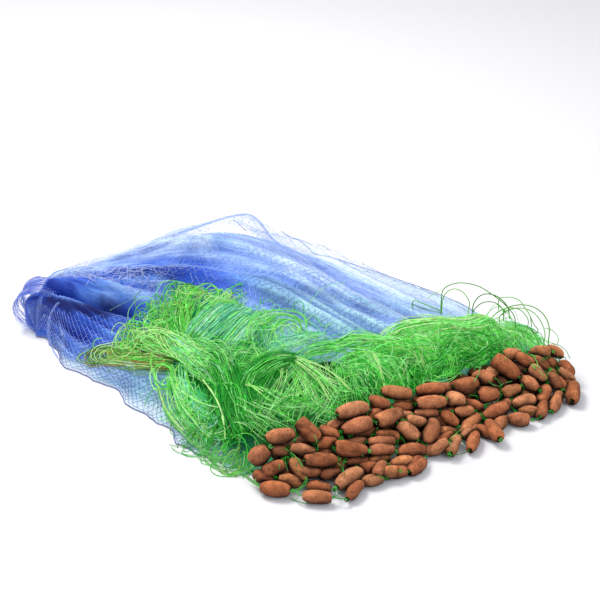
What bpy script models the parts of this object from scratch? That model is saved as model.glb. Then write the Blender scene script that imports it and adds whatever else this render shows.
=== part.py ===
"""Gill net, gathered for storage: blue monofilament netting in long folds, its green sinker line
heaped in loops over the front, and the fired-clay sinkers of that line closed up in one bank.

Laid out on a flat surface, +Z up, in metres. The netting fans out from its folded-over narrow end
(-X) to the bank of sinkers (+X, -Y). The origin is the middle of the underside of the whole heap.
"""

import math

import bmesh
import bpy
import numpy as np
from mathutils import Matrix, Vector

# ---------------------------------------------------------------- sizes
MM = 0.001
CLEAR = 0.0006  # air kept between pieces that lie on each other
SHEET = 0.002  # gathered netting where it is a single fold
CORD_D = 0.0022  # selvedge cord
LINE_D = 0.0012  # sinker line
BANK_TURN = math.radians(33.5)  # the bank runs this far round from +X
BANK_START = (-0.0285, -0.4904)  # front-left corner of the bank on the surface
BANK_SLOPE = math.radians(33.0)  # its face leans back this far from the surface
BANK_BACK = 0.092  # depth of the bank, where the netting and the line begin
SINKER_SIDES = 8

E1 = (math.cos(BANK_TURN), math.sin(BANK_TURN))
E2 = (-math.sin(BANK_TURN), math.cos(BANK_TURN))

# The fan of netting, from the folded end to the bank. Each station is a line across it, from its
# front edge on the surface to its back edge on the surface (metres).
STATION_COLUMNS = ("front_x", "front_y", "back_x", "back_y")
STATIONS = (
    (-0.366, -0.098, -0.358, -0.020),
    (-0.345, -0.120, -0.332, 0.014),
    (-0.313, -0.151, -0.290, 0.042),
    (-0.272, -0.196, -0.225, 0.072),
    (-0.226, -0.238, -0.145, 0.108),
    (-0.186, -0.282, -0.055, 0.135),
    (-0.156, -0.322, 0.048, 0.112),
    (-0.130, -0.350, 0.145, 0.050),
    (-0.100, -0.378, 0.235, -0.025),
    (-0.066, -0.404, 0.312, -0.148),
)

# Height of the gathered netting over the surface, in mm, at shares of the way across each station.
ACROSS = (0.00, 0.08, 0.20, 0.34, 0.48, 0.62, 0.76, 0.88, 1.00)
HEIGHTS = (
    (2.0, 12, 26, 36, 40, 38, 30, 16, 2.0),
    (2.0, 15, 38, 53, 60, 59, 52, 32, 2.0),
    (2.0, 6, 32, 56, 64, 64, 56, 38, 2.0),
    (2.0, 3, 18, 44, 62, 70, 69, 50, 2.0),
    (2.0, 3, 10, 28, 52, 71, 82, 66, 2.0),
    (2.0, 3, 8, 22, 45, 64, 76, 62, 2.0),
    (2.0, 3, 8, 22, 40, 55, 61, 50, 2.0),
    (2.0, 3, 10, 22, 33, 43, 44, 34, 2.0),
    (2.0, 4, 12, 22, 27, 33, 34, 27, 2.0),
    (2.0, 6, 14, 20, 23, 25, 26, 21, 2.0),
)

# The main folds: ridges (+) and troughs (-) that run along the fan from the folded end.
FOLD_COLUMNS = ("from_station", "to_station", "across_start", "across_end", "height_mm", "half_width")
FOLDS = (
    (0.4, 4.0, 0.40, 0.46, -20.0, 0.040),
    (2.6, 6.6, 0.62, 0.565, -16.0, 0.032),
    (0.8, 5.0, 0.52, 0.525, 10.0, 0.036),
    (1.2, 7.2, 0.69, 0.645, 11.0, 0.028),
    (0.3, 3.2, 0.30, 0.34, 9.0, 0.036),
    (0.8, 2.9, 0.20, 0.23, -9.0, 0.030),
    (3.4, 8.2, 0.835, 0.815, 7.0, 0.022),
    (4.2, 8.0, 0.735, 0.700, -10.0, 0.022),
    (4.8, 8.0, 0.595, 0.575, 9.0, 0.024),
    (0.4, 4.0, 0.60, 0.58, -9.0, 0.024),
    (1.0, 6.0, 0.90, 0.91, 9.0, 0.024),
    (2.6, 7.6, 0.95, 0.94, -6.0, 0.018),
    (0.6, 3.4, 0.80, 0.84, -10.0, 0.028),
    (5.4, 8.8, 0.88, 0.90, 8.0, 0.024),
    (1.8, 5.6, 0.475, 0.495, -9.0, 0.018),
    (5.6, 8.4, 0.66, 0.64, -8.0, 0.020),
    (0.3, 2.0, 0.55, 0.58, -9.0, 0.030),
)

# The thin fold that stands up in an arch on top: along the fan, height over the surface in mm.
ARCH_COLUMNS = ("station", "crest_mm")
ARCH = ((3.3, 72.0), (3.8, 84.0), (4.3, 90.0), (4.65, 98.0), (4.95, 104.0), (5.25, 94.0), (5.5, 84.0), (5.85, 72.0), (6.2, 60.0))
ARCH_ACROSS, ARCH_HALF = 0.775, 0.062

# The sinker line's gathered loops. Each tuft is a swathe over the netting, with its own twists.
TUFT_COLUMNS = ("station", "across_start", "across_end", "thickness_mm")
TUFTS = {
    "line_hank_left": (
        (2.75, 0.26, 0.38, 5.0),
        (3.30, 0.22, 0.46, 14.0),
        (4.00, 0.19, 0.51, 24.0),
        (4.70, 0.18, 0.50, 31.0),
        (5.40, 0.19, 0.47, 37.0),
        (6.10, 0.22, 0.45, 38.0),
        (6.60, 0.25, 0.42, 27.0),
    ),
    "line_hank_front": (
        (4.10, 0.060, 0.165, 5.0),
        (4.80, 0.045, 0.165, 13.0),
        (5.60, 0.040, 0.175, 20.0),
        (6.50, 0.035, 0.205, 30.0),
        (7.30, 0.030, 0.240, 37.0),
        (8.10, 0.025, 0.270, 38.0),
        (8.80, 0.030, 0.290, 26.0),
    ),
    "line_hank_right": (
        (6.78, 0.270, 0.440, 24.0),
        (7.30, 0.285, 0.500, 31.0),
        (7.80, 0.300, 0.640, 35.0),
        (8.20, 0.310, 0.840, 39.0),
        (8.60, 0.320, 0.945, 42.0),
        (8.92, 0.330, 0.965, 34.0),
    ),
}
# Each tuft's main twists: their height in mm, their lean along the tuft, and their pitch across it.
TWIST_COLUMNS = ("height_mm", "lean", "pitch")
TWISTS = {
    "line_hank_left": (8.0, 1.3, 0.145),
    "line_hank_front": (7.0, 1.8, 0.170),
    "line_hank_right": (9.0, -1.0, 0.120),
}

# The sinkers as laid, as they show along a sight line from the front, SIGHT_TILT above level and
# SIGHT_REACH long. right and up count steps of STEP on the plane square to that line. turn is the
# sinker's direction on it, in degrees round from the right. length and width are its steps there,
# sunk is how many mm it lies under the bank's face, and toward is how far it points out of the face.
SIGHT_TILT, SIGHT_REACH, STEP = math.radians(30.0), 1.98, 1.98 / 1416.7
SINKER_COLUMNS = ("right", "up", "turn", "length", "width", "sunk", "toward")
SINKERS = (
    (-19, -139, 6, 30, 16, 0, 0),
    (6, -134, -42, 28, 17, 0, 0),
    (1, -148, -14, 26, 14, 3, 0),
    (-38, -153, 40, 21, 19, 2, 35),
    (-24, -162, 20, 24, 16, 0, 20),
    (-4, -169, -50, 26, 15, 1, 0),
    (-25, -189, -5, 31, 16, 0, 0),
    (17, -197, -3, 30, 14, 0, 0),
    (18, -185, -8, 25, 12, 2, 0),
    (47, -179, 28, 35, 18, 0, 0),
    (31, -173, 8, 22, 12, 5, 0),
    (20, -161, 0, 33, 14, 1, 0),
    (29, -152, -35, 28, 14, 5, 0),
    (49, -152, -8, 33, 16, 0, 0),
    (54, -140, 4, 26, 13, 8, 0),
    (30, -133, -20, 21, 13, 5, 0),
    (54, -114, 12, 33, 17, 0, 0),
    (54, -127, 15, 30, 16, 1, 0),
    (83, -104, -22, 23, 14, 2, 0),
    (96, -96, -5, 31, 14, 2, 0),
    (104, -106, 2, 25, 13, 4, 0),
    (88, -117, 20, 28, 15, 0, 0),
    (88, -131, -8, 24, 13, 3, 0),
    (107, -132, -38, 25, 15, 1, 0),
    (85, -151, 0, 26, 14, 0, 0),
    (108, -151, 8, 29, 17, 0, 0),
    (87, -173, 10, 18, 13, 0, 25),
    (130, -90, 4, 29, 14, 0, 0),
    (129, -104, 3, 31, 14, 0, 0),
    (166, -86, 10, 26, 16, 0, 0),
    (153, -100, -12, 22, 16, 1, 15),
    (184, -78, 0, 18, 15, 0, 55),
    (189, -95, 5, 22, 17, 0, 0),
    (210, -90, 22, 21, 13, 0, 0),
    (210, -72, -36, 31, 17, 0, 0),
    (230, -85, -34, 17, 13, 0, 25),
    (240, -64, -32, 19, 13, 2, 10),
    (240, -81, -46, 20, 13, 1, 10),
    (255, -82, -50, 19, 13, 0, 10),
    (265, -67, -50, 20, 14, 0, 0),
    (255, -54, -28, 18, 11, 1, 0),
    (267, -92, 64, 19, 15, 0, 0),
    (252, -100, 52, 20, 12, 1, 0),
    (242, -95, 62, 19, 14, 4, 0),
    (224, -102, 10, 25, 14, 1, 0),
    (218, -119, -4, 23, 14, 0, 0),
    (193, -111, 24, 27, 16, 0, 0),
    (171, -123, 40, 27, 13, 0, 0),
    (153, -121, -38, 20, 13, 1, 0),
    (130, -132, 66, 25, 17, 0, 0),
    (169, -139, 58, 18, 12, 0, 0),
    (154, -145, 54, 18, 13, 0, 0),
)


# ---------------------------------------------------------------- helpers
def smooth_read(xs, ys, x):
    """A value between table rows on a smooth curve that passes through each row."""
    xs, ys = np.asarray(xs, float), np.asarray(ys, float)
    x = min(max(x, xs[0]), xs[-1])
    i = int(np.clip(np.searchsorted(xs, x) - 1, 0, len(xs) - 2))
    gap = xs[i + 1] - xs[i]
    t = (x - xs[i]) / gap

    def slope(k):
        if k == 0:
            return (ys[1] - ys[0]) / (xs[1] - xs[0])
        if k == len(xs) - 1:
            return (ys[-1] - ys[-2]) / (xs[-1] - xs[-2])
        return (ys[k + 1] - ys[k - 1]) / (xs[k + 1] - xs[k - 1])

    m0, m1 = slope(i) * gap, slope(i + 1) * gap
    return (
        (2 * t**3 - 3 * t**2 + 1) * ys[i]
        + (t**3 - 2 * t**2 + t) * m0
        + (-2 * t**3 + 3 * t**2) * ys[i + 1]
        + (t**3 - t**2) * m1
    )


def step01(x):
    x = min(max(x, 0.0), 1.0)
    return x * x * (3 - 2 * x)


def on_surface(a, b):
    """The point at station a and share b of the way across, on the surface the heap lies on."""
    rows = range(len(STATIONS))
    fx, fy, kx, ky = (smooth_read(rows, [s[c] for s in STATIONS], a) for c in range(4))
    return fx + b * (kx - fx), fy + b * (ky - fy)


def under_line(a, b):
    """1 where the line's loops cover the netting and it lies smooth, 0 where it shows."""
    most = 0.0
    for rows in TUFTS.values():
        table = np.array(rows)
        a0, a1 = table[0, 0], table[-1, 0]
        inside = step01((a - a0 + 0.5) / 0.4) * step01((a1 + 0.6 - a) / 0.4)
        at = min(max(a, a0), a1)
        lo = np.interp(at, table[:, 0], table[:, 1])
        hi = np.interp(at, table[:, 0], table[:, 2])
        most = max(most, inside * step01((b - lo + 0.06) / 0.04) * step01((hi + 0.06 - b) / 0.04))
    return most


def netting_height(a, b):
    """Height of the netting's upper side, in metres."""
    columns = [smooth_read(range(len(HEIGHTS)), [row[c] for row in HEIGHTS], a) for c in range(len(ACROSS))]
    height = smooth_read(ACROSS, columns, b)
    show = 1.0 - under_line(a, b)
    for a0, a1, b0, b1, tall, half in FOLDS:
        if a0 < a < a1:
            t = (a - a0) / (a1 - a0)
            middle = b0 + (b1 - b0) * t + 0.010 * math.sin(9.0 * t + 7.0 * b0)
            fade = step01(t / 0.18) * step01((1 - t) / 0.22)
            height += show * fade * tall * math.exp(-(((b - middle) / half) ** 2))
    if ARCH[0][0] < a < ARCH[-1][0]:
        crest = smooth_read([r[0] for r in ARCH], [r[1] for r in ARCH], a)
        side = abs(b - ARCH_ACROSS) / ARCH_HALF
        if side < 1.6:
            height += max(crest - height, 0.0) * step01((1.6 - side) / 0.9)
    # small uneven gathers
    edge = step01(b / 0.18) * step01((1 - b) / 0.12)
    height += show * edge * 1.6 * math.sin(46 * b + 2.1 * a) * math.cos(1.7 * a + 9 * b)
    return max(height, 1000 * SHEET) * MM


def add_object(name, mesh, collection, material, smooth=True):
    obj = bpy.data.objects.new(name, mesh)
    collection.objects.link(obj)
    mesh.materials.append(material)
    if smooth:
        mesh.shade_smooth()
    return obj


def material(name, colour, roughness, alpha=1.0):
    made = bpy.data.materials.new(name)
    made.use_nodes = True
    shader = made.node_tree.nodes["Principled BSDF"]
    shader.inputs["Base Color"].default_value = (*colour, 1.0)
    shader.inputs["Roughness"].default_value = roughness
    shader.inputs["Metallic"].default_value = 0.0
    shader.inputs["Alpha"].default_value = alpha
    return made


def block_between(name, tops, bottoms):
    """A closed mesh between two grids of the same size, upper and lower, with walls round it."""
    rows, cols = len(tops), len(tops[0])
    bm = bmesh.new()
    up = [[bm.verts.new(p) for p in row] for row in tops]
    down = [[bm.verts.new(p) for p in row] for row in bottoms]
    for i in range(rows - 1):
        for j in range(cols - 1):
            bm.faces.new((up[i][j], up[i + 1][j], up[i + 1][j + 1], up[i][j + 1]))
            bm.faces.new((down[i][j], down[i][j + 1], down[i + 1][j + 1], down[i + 1][j]))
    ring = (
        [(i, 0) for i in range(rows)]
        + [(rows - 1, j) for j in range(1, cols)]
        + [(i, cols - 1) for i in range(rows - 2, -1, -1)]
        + [(0, j) for j in range(cols - 2, 0, -1)]
    )
    for n, (i, j) in enumerate(ring):
        k, m = ring[(n + 1) % len(ring)]
        bm.faces.new((up[i][j], down[i][j], down[k][m], up[k][m]))
    bmesh.ops.recalc_face_normals(bm, faces=bm.faces)
    bmesh.ops.triangulate(bm, faces=bm.faces)
    mesh = bpy.data.meshes.new(name)
    bm.to_mesh(mesh)
    bm.free()
    if sum(t.area * t.center.z * t.normal.z for t in mesh.polygons) < 0:
        mesh.flip_normals()
    return mesh


def joined(target, others):
    """One body from several that run into each other."""
    for number, other in enumerate(others):
        cut = target.modifiers.new(f"join_{number}", "BOOLEAN")
        cut.operation = "UNION"
        cut.solver = "MANIFOLD"
        cut.object = other
        other.hide_render = True
        other.display_type = "WIRE"


# ---------------------------------------------------------------- the scene
for old in list(bpy.data.objects):
    bpy.data.objects.remove(old, do_unlink=True)

parts = bpy.data.collections.new("gill_net")
helpers = bpy.data.collections.new("gill_net_cutters")
bpy.context.scene.collection.children.link(parts)
bpy.context.scene.collection.children.link(helpers)

blue = material("netting_blue_monofilament", (0.10, 0.22, 0.70), 0.38)
navy = material("selvedge_blue_grey", (0.12, 0.20, 0.38), 0.55)
green = material("line_green_monofilament", (0.10, 0.52, 0.12), 0.32)
clay = material("fired_clay", (0.47, 0.16, 0.07), 0.88)


# ---------------------------------------------------------------- netting
def spread(count, low, high):
    return [low + (high - low) * k / (count - 1) for k in range(count)]


STEPS_ALONG, STEPS_ACROSS = 52, 46
a_lines = spread(STEPS_ALONG, 0.0, 9.0)
b_lines = [0.5 - 0.5 * math.cos(math.pi * (0.08 + 0.84 * k / (STEPS_ACROSS - 1))) for k in range(STEPS_ACROSS)]
b_lines = [(b - b_lines[0]) / (b_lines[-1] - b_lines[0]) for b in b_lines]


def edge_wave(a):
    """The front edge of the netting lies in shallow scallops on the surface."""
    return 0.0050 * math.sin(2.9 * a + 0.6) + 0.0026 * math.sin(6.1 * a)


tops, bottoms = [], []
for a in a_lines:
    top_row, low_row = [], []
    for b in b_lines:
        x, y = on_surface(a, b)
        push = edge_wave(a) * (1 - b) ** 6 * step01((9.0 - a) / 0.8)
        x, y = x - 0.7 * push, y - 0.7 * push
        top_row.append((x, y, netting_height(a, b)))
        low_row.append((x, y, 0.0))
    tops.append(top_row)
    bottoms.append(low_row)
netting = add_object("netting", block_between("netting", tops, bottoms), parts, blue)

# the loop that the netting makes where it turns back at its narrow end
LOOP_COLUMNS = ("x", "z")
LOOP_SIDE = (
    (-0.3380, 0.0530),
    (-0.3520, 0.0590),
    (-0.3660, 0.0590),
    (-0.3780, 0.0520),
    (-0.3845, 0.0390),
    (-0.3850, 0.0240),
    (-0.3800, 0.0110),
    (-0.3700, 0.0035),
    (-0.3560, 0.0030),
    (-0.3450, 0.0060),
)
LOOP_FRONT, LOOP_BACK = -0.094, -0.040
loop_up, loop_down = [], []
for k in range(len(LOOP_SIDE)):
    before, after = LOOP_SIDE[max(k - 1, 0)], LOOP_SIDE[min(k + 1, len(LOOP_SIDE) - 1)]
    dx, dz = after[0] - before[0], after[1] - before[1]
    size = math.hypot(dx, dz)
    nx, nz = dz / size, -dx / size
    for rows, half in ((loop_up, SHEET / 2), (loop_down, -SHEET / 2)):
        row = []
        for y in spread(5, LOOP_FRONT, LOOP_BACK):
            swell = 1.0 + 0.05 * math.sin((y - LOOP_FRONT) * 90)
            x = -0.356 + (LOOP_SIDE[k][0] + 0.356) * swell + nx * half + 0.10 * (y - LOOP_FRONT)
            row.append((x, y, max(LOOP_SIDE[k][1] + nz * half, 0.0008 if half < 0 else 0.0028)))
        rows.append(row)
end_loop = add_object("netting_end_loop", block_between("netting_end_loop", loop_up, loop_down), helpers, blue)

joined(netting, (end_loop,))

# ---------------------------------------------------------------- selvedge cord
def cord(name, points):
    curve = bpy.data.curves.new(name, "CURVE")
    curve.dimensions = "3D"
    curve.bevel_depth = CORD_D / 2
    curve.bevel_resolution = 2
    curve.use_fill_caps = True
    line = curve.splines.new("POLY")
    line.points.add(len(points) - 1)
    for point, co in zip(line.points, points):
        point.co = (*co, 1.0)
    obj = bpy.data.objects.new(name, curve)
    parts.objects.link(obj)
    curve.materials.append(navy)
    return obj


front_points = []
for a in spread(40, 1.9, 8.2):
    x, y = on_surface(a, 0.0)
    push = edge_wave(a) * step01((9.0 - a) / 0.8) + 0.0045
    front_points.append((x - 0.7 * push, y - 0.7 * push, CORD_D / 2))
cord("selvedge_front", front_points)

back_points = []
for i, a in enumerate(a_lines):
    if 6.45 <= a <= 7.75:
        j = min(range(len(b_lines)), key=lambda k: abs(b_lines[k] - 0.86))
        x, y, z = tops[i][j]
        back_points.append((x, y, z + CORD_D / 2 + 0.0016))
cord("selvedge_back", back_points)

# ---------------------------------------------------------------- the sinker line's tufts
def tuft(name, along=20, across=19):
    table = np.array(TUFTS[name])
    tall, turn, pitch = TWISTS[name]
    up, down = [], []
    for a in spread(along, table[0, 0], table[-1, 0]):
        lo = smooth_read(table[:, 0], table[:, 1], a)
        hi = smooth_read(table[:, 0], table[:, 2], a)
        thick = smooth_read(table[:, 0], table[:, 3], a)
        up_row, down_row = [], []
        for k in range(across):
            t = k / (across - 1)
            b = lo + (hi - lo) * t
            x, y = on_surface(a, b)
            base = netting_height(a, b) + 0.0020
            crown = (1 - abs(2 * t - 1) ** 2.6) ** 0.62
            twist = tall * crown * math.sin(2 * math.pi * (t + turn * 0.16 * (a - table[0, 0])) / pitch * 0.5)
            depth = 3.0 + (thick - 3.0) * crown + 0.75 * twist * min(1.0, thick / 24)
            down_row.append((x, y, base))
            up_row.append((x, y, base + max(depth, 2.5) * MM))
        up.append(up_row)
        down.append(down_row)
    return add_object(name, block_between(name, up, down), parts, green)


for tuft_name in TUFTS:
    tuft(tuft_name)


# ---------------------------------------------------------------- sinkers
def bank_to_row(along, across, height):
    return Vector(
        (
            BANK_START[0] + along * E1[0] + across * E2[0],
            BANK_START[1] + along * E1[1] + across * E2[1],
            height,
        )
    )


def nearest(p1, d1, h1, p2, d2, h2):
    """The nearest points of two segments, each given by its middle, direction and half length."""
    r = p1 - p2
    a, e, f = 1.0, 1.0, d2.dot(r)
    c, b = d1.dot(r), d1.dot(d2)
    denom = a * e - b * b
    s = min(max((b * f - c * e) / denom, -h1), h1) if denom > 1e-9 else 0.0
    t = min(max(b * s + f, -h2), h2)
    s = min(max(b * t - c, -h1), h1)
    return p1 + d1 * s, p2 + d2 * t


def front_line(along):
    return float(np.interp(along, (0.0, 0.03, 0.06, 0.09, 0.12, 0.40, 0.44, 0.47), (0.060, 0.040, 0.018, 0.004, 0.0, 0.0, 0.004, 0.012)))


def on_bank(right, up, radius, sunk):
    """Where a sight line meets the bank: on its sloped face, or low on the surface at its foot."""
    q = up * STEP / SIGHT_REACH
    z = 0.02
    for _ in range(40):
        y = (q * SIGHT_REACH - z * (math.cos(SIGHT_TILT) + q * math.sin(SIGHT_TILT))) / (math.sin(SIGHT_TILT) - q * math.cos(SIGHT_TILT))
        far = SIGHT_REACH + y * math.cos(SIGHT_TILT) - z * math.sin(SIGHT_TILT)
        x = right * STEP / SIGHT_REACH * far
        off = (x - BANK_START[0], y - BANK_START[1])
        along, across = off[0] * E1[0] + off[1] * E1[1], off[0] * E2[0] + off[1] * E2[1]
        rise = max(across - front_line(along) - 0.009, 0.0) * math.tan(BANK_SLOPE)
        z += 0.5 * (max(radius + rise - sunk, radius) - z)
    return Vector((x, y, z)), far, rise > 0.001


def laid_way(turn, sloped, toward):
    """A direction that lies in the bank's face and shows at an angle, or points partly out of it."""
    sight = Vector((0.0, math.cos(SIGHT_TILT), -math.sin(SIGHT_TILT)))
    upward = Vector((0.0, math.sin(SIGHT_TILT), math.cos(SIGHT_TILT)))
    slope = BANK_SLOPE if sloped else 0.0
    normal = Vector((-E2[0] * math.sin(slope), -E2[1] * math.sin(slope), math.cos(slope)))
    flat = Vector((math.cos(turn), 0.0, 0.0)) + upward * math.sin(turn)
    way = (flat - sight * (flat.dot(normal) / sight.dot(normal))).normalized()
    way = way * math.cos(toward) - sight * math.sin(toward)
    return way.normalized(), math.sqrt(max(1.0 - way.normalized().dot(sight) ** 2, 0.05))


def settle(rows):
    """Moves the laid sinkers just clear of each other, of the surface and of the netting."""
    places = []
    for right, up, turn, length, width, sunk, toward in rows:
        point, far, sloped = on_bank(right, up, 0.009, sunk * MM)
        way, shown = laid_way(math.radians(turn), sloped, math.radians(toward))
        step = STEP * far / SIGHT_REACH
        length = min(max(length * step / shown, 0.026), 0.042)
        diameter = min(max(width * step, 0.0145), 0.021)
        places.append([point, way, length, diameter])
    back = Vector((E2[0], E2[1], 0.0))
    for turn in range(260):
        for i in range(len(places)):
            for j in range(i + 1, len(places)):
                (p, d, l, w), (q, g, m, v) = places[i], places[j]
                if (p - q).length > (l + m) / 2 + 0.004:
                    continue
                a, b = nearest(p, d, l / 2 - w * 0.42, q, g, m / 2 - v * 0.42)
                apart = a - b
                need = (w + v) / 2 + CLEAR - apart.length
                if need > 0:
                    push = apart.normalized() if apart.length > 1e-7 else Vector((0, 0, 1))
                    places[i][0] = p + push * need * 0.5
                    places[j][0] = q - push * need * 0.5
        for place in places:
            p, d, l, w = place
            low = p.z - abs(d.z) * (l / 2 - w * 0.3) - w / 2
            if low < 0.0002:
                p.z += 0.0002 - low
            across = (p - bank_to_row(0, 0, p.z)).dot(back) + abs(d.dot(back)) * (l / 2 - w * 0.3) + w / 2
            if across > BANK_BACK - 0.001:
                place[0] = p - back * (across - BANK_BACK + 0.001)
    return places


def sinker(number, place, way, length, diameter):
    """A hand-rolled clay bead: a turned profile, blunt at both ends, a little uneven."""
    lean = 0.05 * math.sin(2.3 * number)
    end = diameter * (0.29 + 0.035 * math.sin(1.7 * number))
    half, full = length / 2, diameter / 2
    profile = (
        (0.0, half),
        (end, half),
        (full * 0.90, half * 0.62),
        (full, half * (0.08 + lean)),
        (full * 0.89, -half * 0.62),
        (end * 0.96, -half),
        (0.0, -half),
    )
    bm = bmesh.new()
    row = [bm.verts.new((x, 0.0, z)) for x, z in profile]
    for one, two in zip(row, row[1:]):
        bm.edges.new((one, two))
    mesh = bpy.data.meshes.new(f"sinker_{number:02d}")
    bm.to_mesh(mesh)
    bm.free()
    obj = add_object(f"sinker_{number:02d}", mesh, parts, clay, smooth=False)
    turned = obj.modifiers.new("turned", "SCREW")
    turned.steps = turned.render_steps = SINKER_SIDES
    turned.use_merge_vertices = True
    turned.merge_threshold = 0.0001
    turned.use_smooth_shade = True
    spin = Matrix.Rotation(0.7 * number, 4, "Z")
    obj.matrix_world = Matrix.Translation(place) @ way.to_track_quat("Z", "Y").to_matrix().to_4x4() @ spin
    return obj


laid = settle(SINKERS)
for number, (place, way, length, diameter) in enumerate(laid, 1):
    sinker(number, place, way, length, diameter)

# ---------------------------------------------------------------- the pile under them
def bed_height(along, across):
    """The pile's upper side: under the face of the bank, and clear under each laid sinker."""
    point = bank_to_row(along, across, 0.0)
    height = 0.009 + (across - front_line(along) - 0.009) * math.tan(BANK_SLOPE) - 0.010
    height = min(height, np.interp(along, (0.05, 0.12, 0.36, 0.45), (0.026, 0.042, 0.042, 0.024)))
    for p, d, l, w in laid:
        flat = Vector((d.x, d.y, 0.0))
        reach = flat.length
        off = point - Vector((p.x, p.y, 0.0))
        s = 0.0 if reach < 1e-6 else min(max(off.dot(flat) / reach**2, -l / 2), l / 2)
        side = (off - flat * s).length
        if side < w / 2 + 0.010:
            height = min(height, p.z + d.z * s - w / 2 - 0.0015 - abs(d.z) * 0.010)
    return height


BED_COLUMNS = ("along", "front")
bed_tops, bed_lows = [], []
for along in spread(44, 0.050, 0.452):
    lo = front_line(along) + 0.034
    up_row, low_row = [], []
    for k in range(8):
        across = lo + (BANK_BACK - 0.0015 - lo) * k / 7
        p = bank_to_row(along, across, 0.0)
        up_row.append((p.x, p.y, max(bed_height(along, across), 0.0015)))
        low_row.append((p.x, p.y, 0.0))
    bed_tops.append(up_row)
    bed_lows.append(low_row)
add_object("sinker_bed", block_between("sinker_bed", bed_tops, bed_lows), parts, clay)

# ---------------------------------------------------------------- origin under the middle
bpy.context.view_layer.update()
graph = bpy.context.evaluated_depsgraph_get()
low, high = np.full(3, 1e9), np.full(3, -1e9)
for obj in parts.objects:
    corners = np.array([obj.evaluated_get(graph).matrix_world @ Vector(c) for c in obj.evaluated_get(graph).bound_box])
    mesh = obj.evaluated_get(graph).to_mesh()
    world = obj.evaluated_get(graph).matrix_world
    points = np.array([world @ v.co for v in mesh.vertices])
    low, high = np.minimum(low, points.min(0)), np.maximum(high, points.max(0))
    obj.evaluated_get(graph).to_mesh_clear()
shift = Matrix.Translation((-(low[0] + high[0]) / 2, -(low[1] + high[1]) / 2, -low[2]))
for obj in list(parts.objects) + list(helpers.objects):
    obj.matrix_world = shift @ obj.matrix_world
print("moved by", [round(v, 5) for v in shift.translation])
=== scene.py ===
"""The looks of the gill net: gathered blue monofilament netting, its green sinker line heaped in
loops over it, and the bank of fired-clay sinkers. Everything is a mesh in the row frame, in metres."""

import math

import bpy
import numpy as np
from mathutils import Matrix, Vector
from mathutils.bvhtree import BVHTree


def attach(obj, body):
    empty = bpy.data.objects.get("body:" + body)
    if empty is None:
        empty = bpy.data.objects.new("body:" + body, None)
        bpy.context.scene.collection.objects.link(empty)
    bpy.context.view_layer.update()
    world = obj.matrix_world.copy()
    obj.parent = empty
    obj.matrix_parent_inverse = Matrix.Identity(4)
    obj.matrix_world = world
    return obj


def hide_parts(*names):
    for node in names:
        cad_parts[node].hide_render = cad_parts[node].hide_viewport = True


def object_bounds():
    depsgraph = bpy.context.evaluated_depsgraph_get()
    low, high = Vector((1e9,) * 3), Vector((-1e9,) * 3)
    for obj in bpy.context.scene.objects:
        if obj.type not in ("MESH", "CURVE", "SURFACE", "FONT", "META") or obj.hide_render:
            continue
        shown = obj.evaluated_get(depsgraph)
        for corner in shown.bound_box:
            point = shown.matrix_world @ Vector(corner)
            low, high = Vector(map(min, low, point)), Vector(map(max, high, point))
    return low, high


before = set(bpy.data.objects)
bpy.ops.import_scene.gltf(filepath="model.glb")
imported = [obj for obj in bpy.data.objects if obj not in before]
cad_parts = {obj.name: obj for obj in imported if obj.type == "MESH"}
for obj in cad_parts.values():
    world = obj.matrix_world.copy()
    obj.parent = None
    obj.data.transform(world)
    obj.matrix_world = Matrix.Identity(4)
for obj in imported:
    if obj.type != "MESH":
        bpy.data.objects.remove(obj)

MM = 0.001
CAD_LOW, CAD_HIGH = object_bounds()
rng = np.random.default_rng(4711)

# ------------------------------------------------------------------ camera, floor and light
SHIFT = np.array((0.01791, 0.16428, 0.0))  # the part's working frame to the row frame
LENS, SENSOR, REACH, LOOK = 85.0, 36.0, 1.98, math.radians(30.0)
FOCAL = LENS / SENSOR * 600.0
SIN, COS = math.sin(LOOK), math.cos(LOOK)

camera = bpy.data.objects.new("camera", bpy.data.cameras.new("camera"))
bpy.context.scene.collection.objects.link(camera)
camera.data.lens, camera.data.sensor_width = LENS, SENSOR
camera.data.clip_start, camera.data.clip_end = 0.05, 50.0
camera.location = (SHIFT[0], SHIFT[1] - REACH * COS, REACH * SIN)
camera.rotation_euler = (math.radians(90.0) - LOOK, 0.0, 0.0)
bpy.context.scene.camera = camera


def seen(u, v, z):
    """The row-frame point at height z that the 600 x 600 view shows at (u, v)."""
    u, v, z = (np.asarray(k, float) for k in (u, v, z))
    q = (300.0 - v) / FOCAL
    y = (q * REACH - z * (COS + q * SIN)) / (SIN - q * COS)
    depth = REACH + y * COS - z * SIN
    x = (u - 300.0) / FOCAL * depth
    return np.stack((x + SHIFT[0], y + SHIFT[1], z + 0 * x), -1)


def srgb(r, g, b):
    """Linear light of a colour given in 0 to 255."""
    c = np.array((r, g, b), float) / 255.0
    return np.where(c <= 0.04045, c / 12.92, ((c + 0.055) / 1.055) ** 2.4)


# ------------------------------------------------------------------ numbers that vary smoothly
class Wave:
    """Smooth noise over points of any number of columns, about -1 to 1."""

    def __init__(self, seed, columns, scale, octaves=3):
        made = np.random.default_rng(seed)
        way, phase, weight = [], [], []
        for k in range(octaves):
            d = made.normal(size=(9, columns))
            d /= np.linalg.norm(d, axis=1, keepdims=True)
            way.append(d * (2.0**k) * made.uniform(0.7, 1.3, (9, 1)))
            phase.append(made.uniform(0, 2 * np.pi, 9))
            weight.append(np.full(9, 0.55**k))
        self.way = np.concatenate(way) * np.asarray(scale, float)
        self.phase, self.weight = np.concatenate(phase), np.concatenate(weight)
        self.weight /= np.sqrt((self.weight**2).sum() / 2)

    def __call__(self, *p):
        p = np.stack(np.broadcast_arrays(*p), -1)
        shape = p.shape[:-1]
        p = p.reshape(-1, p.shape[-1])
        out = np.sin(p @ self.way.T + self.phase) @ self.weight
        return np.clip(out.reshape(shape) * 0.55, -1.4, 1.4)


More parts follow.
